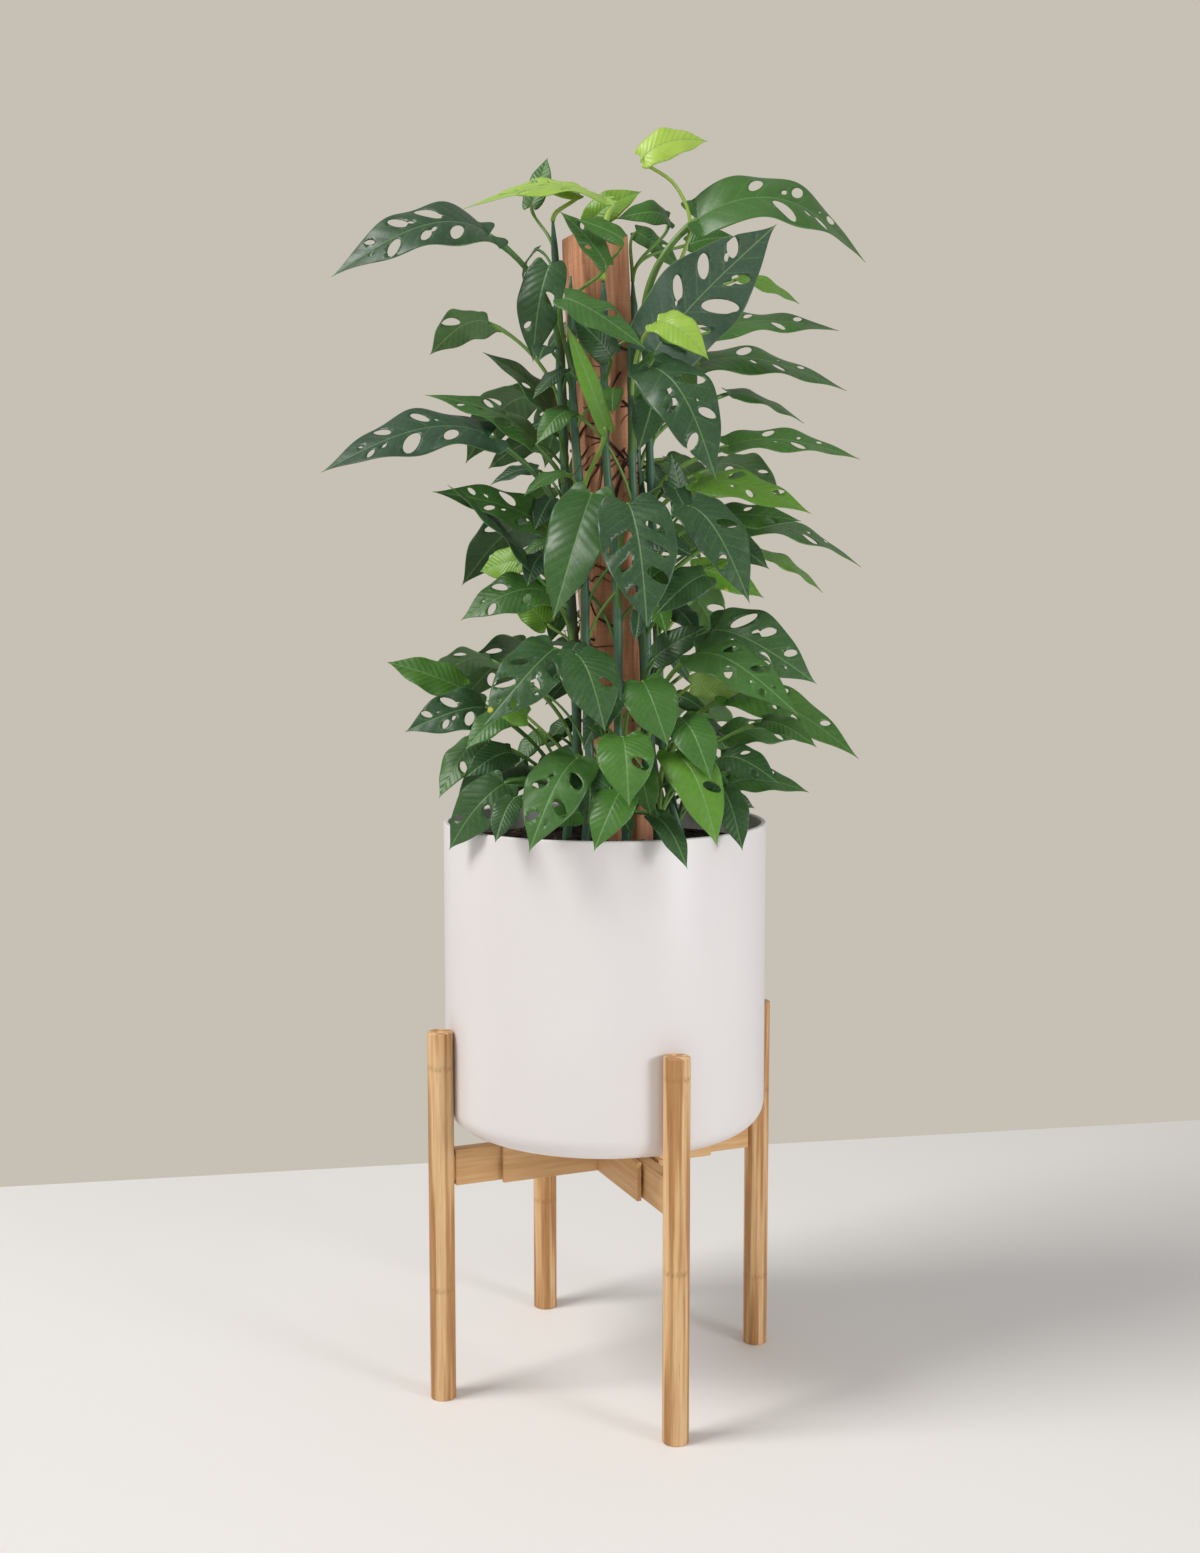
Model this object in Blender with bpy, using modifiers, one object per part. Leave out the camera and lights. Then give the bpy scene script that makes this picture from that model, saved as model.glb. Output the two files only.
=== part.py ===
# Swiss cheese vine (monstera adansonii) climbing a sawn timber post, in a
# cylindrical ceramic pot that stands in a four-legged bamboo stand.
# Metres, +Z up, origin on the floor under the pot's axis, front towards -Y.

import math

import bmesh
import bpy
from mathutils import Matrix, Vector
from mathutils.geometry import delaunay_2d_cdt

MM = 0.001
CM = 0.01
FIT = 0.3 * MM              # gap kept between pieces that touch

# Pot and soil
POT_RADIUS = 152.5 * MM     # a 12 inch pot
POT_WALL = 5.0 * MM
POT_FLOOR = 8.0 * MM        # thickness of the pot's bottom
POT_FOOT = 13.0 * MM        # height of the narrower foot under the pot's body
POT_FOOT_RADIUS = 80.0 * MM
POT_BASE_Z = 240.0 * MM     # the height at which the stand carries the pot
POT_HEIGHT = 300.6 * MM
POT_EDGE = 22.0 * MM        # radius of the rounded lower edge
POT_LIP = 1.5 * MM
POT_SIDES = 48
SOIL_BELOW_RIM = 24.0 * MM
SOIL_MOUND = 6.0 * MM       # how much higher the soil is at the middle
SOIL_SIDES = POT_SIDES // 2

# Bamboo stand
LEG_RADIUS = 12.0 * MM
LEG_HEIGHT = 351.0 * MM
LEG_EDGE = 1.0 * MM
LEG_SIDES = 16
BORE_SIDES = 8
BORE_FIT = math.cos(math.pi / BORE_SIDES)   # keeps a pin clear of its bore's flats
STAND_TURN = 22.4           # degrees that the crossbars are turned about +Z
BAR_HEIGHT = 36.0 * MM
SLAT_THICKNESS = 4.5 * MM
SLAT_REACH = 108.0 * MM     # from the stand's middle to a slat's end
SLAT_SPREAD = 10.75 * MM    # from a crossbar's middle plane to a slat's middle
TONGUE_THICKNESS = 12.4 * MM
TONGUE_HEIGHT = 34.0 * MM
TONGUE_INNER = 42.0 * MM    # how near a tongue comes to the stand's middle
TENON_DEPTH = 9.0 * MM      # how far a tongue goes into its leg
TENON_HEIGHT = 24.0 * MM
TENON_THICKNESS = 8.0 * MM
BOLT_REACH = 100.0 * MM     # from the stand's middle to a bolt
BOLT_RADIUS = 3.0 * MM
BOLT_HEAD_RADIUS = 6.5 * MM
BOLT_HEAD_HEIGHT = 3.0 * MM
NUT_RADIUS = 5.5 * MM
SLOT_LENGTH = 26.0 * MM     # the tongue's slot, from the bolt inwards

# Each leg: its angle in the stand, and to which side of its arm the nut is: 1
# to the left, seen from the stand's middle. The nuts are on the side that
# faces the front, in the gap between the arm and its slat.
LEGS = {"right": (0.0, -1), "back": (90.0, 1), "left": (180.0, 1), "front": (270.0, -1)}

# Climbing post
POST_SIDE = 48.0 * MM
POST_TOP = Vector((-9.7 * MM, 10.0 * MM, 1082.0 * MM))
POST_LEAN = 0.045           # metres to the left for each metre of height
POST_FOOT_Z = 275.0 * MM
POST_TURN = 22.4            # degrees about +Z

# Stems, leaf stalks and blades
STEM_RADIUS = 5.0 * MM
STEM_STEP = 80.0 * MM       # between two points of a stem
STEM_IN_SOIL = 55.0 * MM
STEM_STRAIGHT = 12.0 * MM   # how far above the soil's edge a stem stays upright
STEM_FLARE = 14.0 * MM      # how much further out a stem is at the soil
STEM_FLARE_HEIGHT = 110.0 * MM
STEM_SWAY = 2.2 * MM
STEM_SWAY_RATE = 22.0       # radians of sway for each metre of height
STEM_TAPER = 0.25           # share of the radius that a stem loses to its top
STALK_RISE = 1.35           # height a stalk climbs for each metre it goes out
STALK_RADIUS = 0.9 * MM     # of a very small leaf's stalk
STALK_GROWTH = 0.014        # by how much a longer leaf's stalk is thicker
SHORT_STALK = 90.0 * MM     # stalks under this length have one bend
STALK_NECK = 5.0 * MM       # from the blade's base to where the stalk is square
STALK_HALF = 0.75           # half the stalk's side, over its radius
BLADE_THICKNESS = 0.8 * MM
BLADE_FOLD = 0.16           # how steeply both halves rise from the midrib
FOLD_VARIES = 0.09          # by how much one half rises more than the other
BLADE_SWEEP = 0.035         # how far the midrib bends aside, over the length
ARCH_FORWARD = 0.75         # exponent that puts the arch's top before the middle
BLADE_CURL = 0.10           # how much the margins bend down again
BLADE_WAVE = 0.06           # height of the margin's waves, over the width
WAVES_PER_BLADE = 2.2
PHASE_STEP = 2.4            # sets the waves, folds and holes of the next leaf apart
WIDEST_AT = 0.608           # exponent that puts the widest place at 0.32
MARGIN_FULL = 0.6           # the smaller, the fuller the margin's curve
MARGIN_TIP = 0.75           # the larger, the more drawn out the tip
LOBE_SWEEP = 0.25           # how far the two basal lobes reach back
HOLES_FROM = 0.2            # the share of the length at which the holes begin
HOLES_SPAN = 0.58           # and the share that they take
HOLE_MIDDLE = 0.50          # from the midrib to a hole's middle, over the half width
HOLE_LENGTH = 0.36          # half a hole's length, over the half width
HOLE_WIDTH = 0.36           # half a hole's width, over the space between holes
HOLE_ROUNDEST = 0.5         # a hole's width never exceeds this share of its length
HOLE_VARIES = 0.22          # by how much holes differ in size
VEIN_LEAN = math.radians(50)
LARGE_LEAF = 8.5 * CM       # blades from this length on have more edge points

POT_BODY_Z = POT_BASE_Z + POT_FOOT
POT_FLOOR_Z = POT_BODY_Z + POT_FLOOR
SOIL_Z = POT_BASE_Z + POT_HEIGHT - SOIL_BELOW_RIM
BAR_TOP = POT_BASE_Z - FIT
LEG_REACH = POT_RADIUS + FIT + LEG_RADIUS

# Each stem: where it stands round the post (degrees from +X, and distance from
# the post's middle in cm), its top in cm above the floor, the side that its
# blades turn to, and its blades. A blade is the place of its base and of its
# tip and its width, all in cm, how far its upper face is turned from the sky
# to that side (degrees), how high it arches (over its length) and its holes.
FRONT = Vector((0, -1, 0))
BACK = Vector((0, 1, 0))
STEMS = {
    "vine_left": (190, 3.8, 104, FRONT, [
        ((-10.5, -3.0, 107.5), (-24.0, -8.0, 103.0), 6.4, 50, 0.19, 6),
        ((-5.0, -4.5, 104.5), (-6.5, -5.0, 96.0), 4.1, 40, 0.07, 2),
        ((-4.5, -3.0, 90.5), (-11.0, -4.5, 97.0), 4.7, 25, 0.11, 1),
        ((-6.5, -2.0, 89.0), (-16.5, -2.0, 93.5), 4.6, 30, 0.11, 3),
        ((-10.5, -4.0, 89.5), (-25.0, -9.0, 86.0), 6.6, 35, 0.14, 5),
        ((-5.0, -3.0, 81.0), (-15.5, -6.0, 84.5), 5.1, 40, 0.11, 4),
        ((-7.0, -5.0, 78.0), (-14.0, -7.5, 85.0), 4.0, 20, 0.07, 0),
        ((-5.5, -4.0, 75.5), (-13.0, -7.0, 73.0), 4.7, 45, 0.19, 3),
        ((-11.0, -5.0, 65.0), (-18.0, -8.0, 63.0), 4.4, 60, 0.14, 4),
        ((-11.5, -5.0, 62.0), (-15.0, -8.0, 57.0), 3.4, 30, 0.11, 1),
        ((-8.5, -6.5, 61.0), (-12.5, -9.0, 59.0), 3.0, 60, 0.11, 0),
        ((-8.5, -6.5, 64.5), (-12.5, -9.0, 61.5), 3.0, 45, 0.11, 0),
        ((-9.0, -9.5, 58.5), (-14.0, -9.5, 52.5), 4.2, 60, 0.19, 2),
    ]),
    "vine_left_back": (150, 4.3, 110.5, FRONT, [
        ((-2.5, 3.0, 112.5), (-11.0, 5.0, 112.5), 3.4, 35, 0.11, 3),
        ((-7.0, 6.0, 112.0), (-5.5, 8.0, 117.0), 2.4, 20, 0.04, 0),
        ((-8.0, 3.0, 78.5), (-12.0, 4.5, 77.5), 3.2, 70, 0.07, 0),
        ((-5.5, 3.5, 72.5), (-9.0, 4.5, 75.5), 3.0, 70, 0.07, 0),
        ((-13.5, 0.0, 66.5), (-20.5, 0.0, 69.0), 3.8, 50, 0.08, 0),
        ((-11.0, 5.0, 101.0), (-17.0, 8.5, 98.5), 4.6, -30, 0.16, 1),
        ((-11.0, 4.5, 69.0), (-17.5, 8.0, 66.0), 4.6, -35, 0.16, 2),
    ]),
    "vine_front_left": (235, 4.3, 104, FRONT, [
        ((0.0, -5.5, 104.5), (-4.0, -6.0, 109.0), 2.6, 45, 0.04, 2),
        ((-3.5, -8.7, 101.0), (3.5, -10.2, 96.5), 3.7, 40, 0.08, 1),
        ((0.0, -8.5, 90.0), (-3.5, -9.0, 99.0), 1.8, 60, 0.03, 0),
        ((-1.2, -10.0, 84.0), (-4.5, -15.0, 73.0), 5.5, 35, 0.11, 0),
        ((-4.5, -10.0, 70.5), (-10.5, -15.0, 64.0), 5.4, 60, 0.16, 5),
        ((-2.5, -11.0, 70.0), (0.0, -15.0, 63.5), 5.1, 55, 0.14, 1),
        ((-7.0, -9.0, 64.5), (-10.5, -10.5, 66.0), 2.8, 60, 0.05, 0),
        ((-2.5, -13.0, 61.0), (-6.5, -18.0, 53.5), 5.4, 50, 0.14, 4),
        ((-8.0, -13.0, 57.5), (-9.5, -15.5, 54.0), 2.4, 45, 0.08, 0),
    ]),
    "vine_front": (275, 4.2, 104, FRONT, [
        ((1.5, -6.5, 106.5), (-2.5, -7.5, 108.0), 2.0, 70, 0.04, 0),
        ((0.5, -6.0, 96.5), (-3.0, -6.5, 100.0), 3.0, 70, 0.07, 0),
        ((2.0, -12.5, 83.0), (3.5, -17.5, 72.5), 6.6, 45, 0.08, 6),
        ((-1.5, -13.0, 60.0), (-1.5, -15.5, 55.5), 3.6, 60, 0.16, 0),
        ((1.5, -14.0, 58.5), (-1.0, -17.5, 53.5), 3.8, 40, 0.19, 0),
        ((1.5, -14.5, 63.0), (2.0, -18.5, 57.5), 5.0, 50, 0.14, 1),
        ((3.3, -12.0, 67.7), (5.4, -15.5, 62.3), 4.7, 45, 0.14, 0),
        ((3.2, -11.5, 60.0), (4.0, -13.5, 56.0), 2.8, 50, 0.11, 0),
        ((1.0, -7.5, 66.0), (-2.0, -9.5, 61.5), 2.8, 50, 0.11, 0),
        ((0.0, 1.0, 111.5), (-13.0, 0.0, 110.5), 4.6, 22, 0.11, 4),
    ]),
    "vine_front_right": (312, 4.0, 100, FRONT, [
        ((4.5, -5.0, 97.0), (15.0, -8.0, 107.5), 8.0, -55, 0.08, 6),
        ((4.5, -8.0, 99.0), (9.0, -10.5, 95.5), 3.2, 65, 0.19, 0),
        ((4.0, -9.0, 95.0), (9.5, -13.5, 85.0), 5.8, 50, 0.16, 4),
        ((4.5, -5.0, 93.5), (3.0, -6.5, 88.0), 3.2, 50, 0.11, 0),
        ((7.5, -8.5, 83.0), (12.5, -13.0, 74.5), 4.9, 45, 0.16, 2),
        ((10.5, -5.5, 80.5), (14.5, -9.5, 77.5), 2.9, 60, 0.11, 0),
        ((9.0, -6.5, 77.0), (4.5, -9.5, 73.5), 3.4, 60, 0.08, 0),
        ((9.5, -7.6, 72.0), (18.5, -12.0, 67.5), 6.0, 60, 0.22, 5),
        ((8.0, -10.0, 70.0), (16.5, -16.5, 65.0), 4.8, 45, 0.16, 4),
        ((6.6, -12.3, 64.5), (9.0, -17.0, 59.5), 3.9, 55, 0.14, 0),
        ((6.0, -13.5, 61.5), (9.5, -18.5, 54.0), 4.4, 40, 0.14, 1),
        ((4.5, -14.5, 56.0), (7.0, -17.5, 52.0), 2.2, 40, 0.11, 0),
        ((14.0, -9.0, 64.0), (18.5, -12.5, 62.0), 2.7, 40, 0.11, 0),
        ((4.5, -5.5, 69.5), (9.5, -6.5, 72.5), 3.0, 55, 0.11, 0),
    ]),
    "vine_right": (350, 4.3, 101, FRONT, [
        ((8.5, 0.0, 109.5), (25.0, 7.0, 107.0), 6.6, 50, 0.22, 5),
        ((3.5, 0.0, 115.0), (9.5, 2.0, 117.0), 3.2, 65, 0.16, 0),
        ((10.0, 1.0, 99.5), (22.0, 3.0, 100.0), 4.7, 35, 0.08, 3),
        ((11.5, 0.0, 89.0), (24.0, 2.0, 88.0), 4.5, 30, 0.09, 3),
        ((8.5, -3.0, 85.5), (18.5, -6.5, 82.5), 4.5, 35, 0.11, 3),
        ((10.5, -2.0, 82.5), (18.0, -3.0, 82.0), 3.6, 45, 0.08, 2),
        ((8.0, -2.5, 77.5), (14.5, -4.5, 75.0), 3.6, 50, 0.16, 1),
        ((7.0, -3.0, 83.0), (6.0, -4.0, 88.0), 2.2, 40, 0.07, 0),
        ((8.0, -4.0, 67.0), (12.5, -6.0, 66.5), 3.0, -60, 0.07, 0),
        ((11.5, -4.0, 66.0), (23.0, -7.0, 60.5), 4.6, 35, 0.11, 3),
        ((10.5, -6.5, 60.5), (15.5, -9.5, 58.5), 3.4, 55, 0.16, 2),
        ((10.5, -10.0, 58.0), (12.0, -13.5, 53.0), 3.0, 45, 0.11, 0),
    ]),
    "vine_right_back": (35, 4.0, 105, FRONT, [
        ((9.0, 4.0, 97.0), (23.5, 8.0, 95.0), 5.4, 30, 0.09, 3),
        ((6.0, 4.5, 110.5), (1.0, 2.0, 110.0), 2.8, 60, 0.19, 0),
        ((-1.5, 6.5, 110.5), (3.5, 6.5, 113.5), 3.0, 70, 0.16, 0),
        ((8.0, 6.0, 108.5), (12.5, 7.5, 109.5), 2.4, 70, 0.11, 0),
        ((3.0, 5.5, 109.5), (7.5, 7.0, 106.0), 2.8, 50, 0.11, 1),
        ((13.0, 7.0, 105.5), (19.0, 9.5, 103.5), 2.6, 40, 0.08, 0),
        ((12.0, 5.5, 94.5), (19.5, 9.0, 92.0), 3.0, 30, 0.08, 0),
        ((13.0, 3.0, 81.5), (25.0, 7.0, 78.0), 4.6, 30, 0.11, 3),
        ((15.5, 5.5, 79.0), (21.5, 8.5, 75.5), 2.8, 30, 0.07, 0),
        ((11.5, 0.5, 62.0), (19.0, 2.5, 61.5), 4.0, 35, 0.11, 2),
        ((11.5, -2.0, 57.5), (19.0, -3.0, 57.0), 3.6, 35, 0.14, 1),
        ((10.5, 5.5, 87.5), (17.5, 10.0, 85.0), 4.8, -35, 0.16, 2),
        ((10.5, 6.0, 69.0), (17.5, 10.5, 66.0), 4.8, -35, 0.16, 2),
    ]),
    "vine_back": (80, 4.3, 103, BACK, []),
    "vine_back_left": (118, 4.1, 95, BACK, []),
}

# Stalks that don't take the usual way: the places that they pass, in cm.
STALK_WAYS = {
    ("vine_right", 1): [(5.5, 0.5, 103.0), (7.8, 0.0, 108.5), (6.5, 0.0, 112.5)],
    ("vine_front", 9): [(-0.3, -3.4, 106.5), (0.2, -2.9, 109.2), (0.8, -0.5, 110.6)],
    ("vine_right_back", 2): [(0.5, 6.0, 108.5), (-2.0, 6.5, 109.3)],
}

# The blades at the back follow a rule: from the lowest up they stand to the
# right and to the left of their stem in turn.
BACK_BLADES = 8
BACK_LOWEST = 58.5 * CM
BACK_SPREAD = 32            # degrees to each side of the stem's direction
BACK_BASE_REACH = 10.0 * CM
BACK_LENGTH = 12.5 * CM
BACK_OUTWARD = 0.72         # share of a blade's length that goes outwards
BACK_FALL = 6.0 * CM
BACK_ARCH = 0.16


def new_collection(name):
    collection = bpy.data.collections.new(name)
    bpy.context.scene.collection.children.link(collection)
    return collection


def material(name, color, roughness, metallic=0.0):
    made = bpy.data.materials.new(name)
    made.use_nodes = True
    shader = made.node_tree.nodes["Principled BSDF"]
    shader.inputs["Base Color"].default_value = (*color, 1.0)
    shader.inputs["Roughness"].default_value = roughness
    shader.inputs["Metallic"].default_value = metallic
    return made


def add_object(name, data, collection, surface=None):
    made = bpy.data.objects.new(name, data)
    collection.objects.link(made)
    if surface:
        data.materials.append(surface)
    return made


def mesh_object(name, bm, collection, surface=None):
    mesh = bpy.data.meshes.new(name)
    bm.to_mesh(mesh)
    bm.free()
    return add_object(name, mesh, collection, surface)


def evaluated_mesh(source):
    """The object's mesh with its modifiers applied."""
    depsgraph = bpy.context.evaluated_depsgraph_get()
    depsgraph.update()
    return bpy.data.meshes.new_from_object(source.evaluated_get(depsgraph))


def apply_modifiers(target):
    mesh = evaluated_mesh(target)
    target.modifiers.clear()
    target.data = mesh
    return target


def smooth(target, angle=35.0):
    target.data.shade_smooth()
    target.data.set_sharp_from_angle(angle=math.radians(angle))


def box(name, size, collection, surface=None):
    bm = bmesh.new()
    bmesh.ops.create_cube(bm, size=1.0)
    bmesh.ops.scale(bm, vec=Vector(size), verts=bm.verts)
    return mesh_object(name, bm, collection, surface)


def cylinder(name, radius, depth, sides, collection, surface=None):
    bm = bmesh.new()
    bmesh.ops.create_cone(bm, cap_ends=True, segments=sides, radius1=radius,
                          radius2=radius, depth=depth)
    return mesh_object(name, bm, collection, surface)


def place(target, matrix):
    """Move the object's mesh, so that its location stays at the origin."""
    target.data.transform(matrix)
    return target


def cutter(target, cutters):
    for owner in target.users_collection:
        owner.objects.unlink(target)
    cutters.objects.link(target)
    target.hide_render = True
    target.display_type = "WIRE"
    return target


def cut(target, tool):
    boolean = target.modifiers.new(f"cut {tool.name}", "BOOLEAN")
    boolean.operation = "DIFFERENCE"
    boolean.object = tool


def bevel(target, width, segments=1, angle=50.0):
    edge = target.modifiers.new("rounded edges", "BEVEL")
    edge.width = width
    edge.segments = segments
    edge.limit_method = "ANGLE"
    edge.angle_limit = math.radians(angle)


def arc(center, radius, start, end, steps):
    """Points on an arc in the profile plane, angles in degrees."""
    points = []
    for step in range(steps + 1):
        angle = math.radians(start + (end - start) * step / steps)
        points.append((center[0] + radius * math.cos(angle),
                       center[1] + radius * math.sin(angle)))
    return points


def turned(name, profile, sides, collection, surface):
    """Turn a profile, which runs down the outer side, about the Z axis."""
    bm = bmesh.new()
    verts = [bm.verts.new((r, 0.0, z)) for r, z in profile]
    for first, second in zip(verts, verts[1:]):
        bm.edges.new((first, second))
    made = mesh_object(name, bm, collection, surface)
    screw = made.modifiers.new("turn", "SCREW")
    screw.steps = sides
    screw.render_steps = sides
    screw.use_merge_vertices = True
    screw.merge_threshold = 0.00005
    return made


def turn_about_z(angle):
    return Matrix.Rotation(math.radians(angle), 4, "Z")


def add_pot(parts, surface):
    inner = POT_RADIUS - POT_WALL
    top = POT_BASE_Z + POT_HEIGHT
    inner_edge = POT_EDGE - POT_WALL
    profile = [(0.0, POT_FLOOR_Z)]
    profile += arc((inner - inner_edge, POT_FLOOR_Z + inner_edge), inner_edge, -90, 0, 2)
    profile += arc((inner + POT_LIP, top - POT_LIP), POT_LIP, 180, 90, 1)
    profile += arc((POT_RADIUS - POT_LIP, top - POT_LIP), POT_LIP, 90, 0, 1)
    profile += arc((POT_RADIUS - POT_EDGE, POT_BODY_Z + POT_EDGE), POT_EDGE, 0, -90, 3)
    profile += [(POT_FOOT_RADIUS, POT_BODY_Z), (POT_FOOT_RADIUS, POT_BASE_Z), (0.0, POT_BASE_Z)]
    pot = turned("pot", profile, POT_SIDES, parts, surface)
    apply_modifiers(pot)
    smooth(pot)


def post_middle(z):
    """The middle of the leaning post at a height."""
    return Vector((POST_TOP.x + (POST_TOP.z - z) * POST_LEAN, POST_TOP.y, z))


def post_block(name, side, bottom, collection, surface=None):
    length = POST_TOP.z - bottom
    block = box(name, (side, side, length), collection, surface)
    lean = Matrix.Identity(4)
    lean[0][2] = -POST_LEAN
    place(block, Matrix.Translation(post_middle((POST_TOP.z + bottom) / 2)) @ lean
          @ turn_about_z(POST_TURN))
    return block


def stem_point(angle, reach, z, wander=0.0):
    """The middle of a stem at a height: beside the post, flared at the soil."""
    above = max(z - SOIL_Z - STEM_STRAIGHT, 0.0)
    flare = STEM_FLARE * max(0.0, 1.0 - above / STEM_FLARE_HEIGHT) ** 2
    sway = STEM_SWAY * math.sin(above * STEM_SWAY_RATE + wander) * min(1.0, above / 0.1)
    turn = math.radians(angle)
    outward = Vector((math.cos(turn), math.sin(turn), 0))
    across = Vector((-math.sin(turn), math.cos(turn), 0))
    middle = post_middle(SOIL_Z + STEM_STRAIGHT + above) + outward * (reach + flare) + across * sway
    middle.z = z
    return middle


def add_soil(parts, cutters, surface):
    radius = (POT_RADIUS - POT_WALL) * math.cos(math.pi / POT_SIDES) - FIT
    bottom = POT_FLOOR_Z + FIT
    edge = POT_EDGE - POT_WALL
    profile = [(0.0, SOIL_Z + SOIL_MOUND), (radius * 0.5, SOIL_Z + SOIL_MOUND * 0.8),
               (radius, SOIL_Z)]
    profile += arc((radius - edge, bottom + edge), edge, 0, -90, 2)
    profile += [(0.0, bottom)]
    soil = turned("soil", profile, SOIL_SIDES, parts, surface)
    apply_modifiers(soil)
    cut(soil, cutter(post_block("post_hole", POST_SIDE + 2 * FIT, POST_FOOT_Z - FIT,
                                parts), cutters))
    hole_radius = (STEM_RADIUS + FIT) / math.cos(math.pi / BORE_SIDES)
    for name, (angle, reach, _, _, _) in STEMS.items():
        foot = stem_point(angle, reach * CM, SOIL_Z)
        hole = cylinder(f"hole_{name}", hole_radius, 2 * STEM_IN_SOIL + 2 * FIT, BORE_SIDES,
                        parts)
        place(hole, Matrix.Translation(foot))
        cut(soil, cutter(hole, cutters))
    apply_modifiers(soil)


def add_post(parts, surface):
    post = post_block("post", POST_SIDE, POST_FOOT_Z, parts, surface)
    bevel(post, 0.8 * MM)


def bar_frame(angle):
    """Stand frame with +X along the crossbar's arm that points at an angle."""
    return turn_about_z(STAND_TURN + angle)


def add_slats(parts, cutters, surface):
    """Two slats for each crossbar, half-lapped where the crossbars meet.

    Only the slat that is away from the front is bored for the bolts.
    """
    middle_z = BAR_TOP - BAR_HEIGHT / 2
    for bar, angle, bored in (("a", 0.0, 1), ("b", 90.0, -1)):
        for side, sign in (("1", 1), ("2", -1)):
            slat = box(f"slat_{bar}{side}", (2 * SLAT_REACH, SLAT_THICKNESS, BAR_HEIGHT),
                       parts, surface)
            frame = bar_frame(angle) @ Matrix.Translation((0, sign * SLAT_SPREAD, middle_z))
            place(slat, frame)
            half = BAR_HEIGHT / 2
            lift = half / 2 if bar == "a" else -half / 2
            for crossing in (1, -1):
                notch = box(f"notch_{bar}{side}_{crossing}",
                            (SLAT_THICKNESS + 2 * FIT, 3 * SLAT_THICKNESS, half + 2 * FIT),
                            parts)
                place(notch, frame @ Matrix.Translation(
                    (crossing * SLAT_SPREAD, 0, lift + math.copysign(FIT / 2, lift))))
                cut(slat, cutter(notch, cutters))
                if sign != bored:
                    continue
                hole = cylinder(f"slat_hole_{bar}{side}_{crossing}", BOLT_RADIUS + FIT,
                                3 * SLAT_THICKNESS, BORE_SIDES, parts)
                place(hole, frame @ Matrix.Translation((crossing * BOLT_REACH, 0, 0))
                      @ Matrix.Rotation(math.pi / 2, 4, "X"))
                cut(slat, cutter(hole, cutters))
            apply_modifiers(slat)


def add_leg(name, angle, parts, cutters, surface):
    leg = cylinder(f"leg_{name}", LEG_RADIUS, LEG_HEIGHT, LEG_SIDES, parts, surface)
    place(leg, bar_frame(angle) @ Matrix.Translation((LEG_REACH, 0, LEG_HEIGHT / 2)))
    bevel(leg, LEG_EDGE, 1, 60.0)
    socket = box(f"socket_{name}", (2 * TENON_DEPTH, TENON_THICKNESS + 2 * FIT,
                                    TENON_HEIGHT + 2 * FIT), parts)
    place(socket, bar_frame(angle) @ Matrix.Translation(
        (LEG_REACH - LEG_RADIUS + FIT, 0, BAR_TOP - BAR_HEIGHT / 2)))
    apply_modifiers(leg)
    cut(leg, cutter(socket, cutters))
    apply_modifiers(leg)
    smooth(leg)


def add_tongue(name, angle, parts, cutters, surface):
    """The arm of a leg, with its tenon and the slot that its bolt runs in."""
    outer = LEG_REACH - LEG_RADIUS - FIT
    middle_z = BAR_TOP - BAR_HEIGHT / 2
    tongue = box(f"tongue_{name}", (outer - TONGUE_INNER, TONGUE_THICKNESS, TONGUE_HEIGHT),
                 parts, surface)
    place(tongue, Matrix.Translation(((outer + TONGUE_INNER) / 2, 0, middle_z)))
    tenon = box(f"tenon_{name}", (2 * TENON_DEPTH, TENON_THICKNESS, TENON_HEIGHT), parts)
    place(tenon, Matrix.Translation((outer - FIT, 0, middle_z)))
    join = tongue.modifiers.new("tenon", "BOOLEAN")
    join.operation = "UNION"
    join.object = cutter(tenon, cutters)
    slot = cylinder(f"slot_{name}", BOLT_RADIUS + FIT, 2 * TONGUE_THICKNESS, BORE_SIDES,
                    parts)
    place(slot, Matrix.Rotation(math.pi / BORE_SIDES, 4, "Y")
          @ Matrix.Rotation(math.pi / 2, 4, "X"))
    for vert in slot.data.vertices:
        vert.co.x -= SLOT_LENGTH if vert.co.x < 0 else 0.0
    place(slot, Matrix.Translation((BOLT_REACH, 0, middle_z)))
    cut(tongue, cutter(slot, cutters))
    apply_modifiers(tongue)
    place(tongue, bar_frame(angle))


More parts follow.
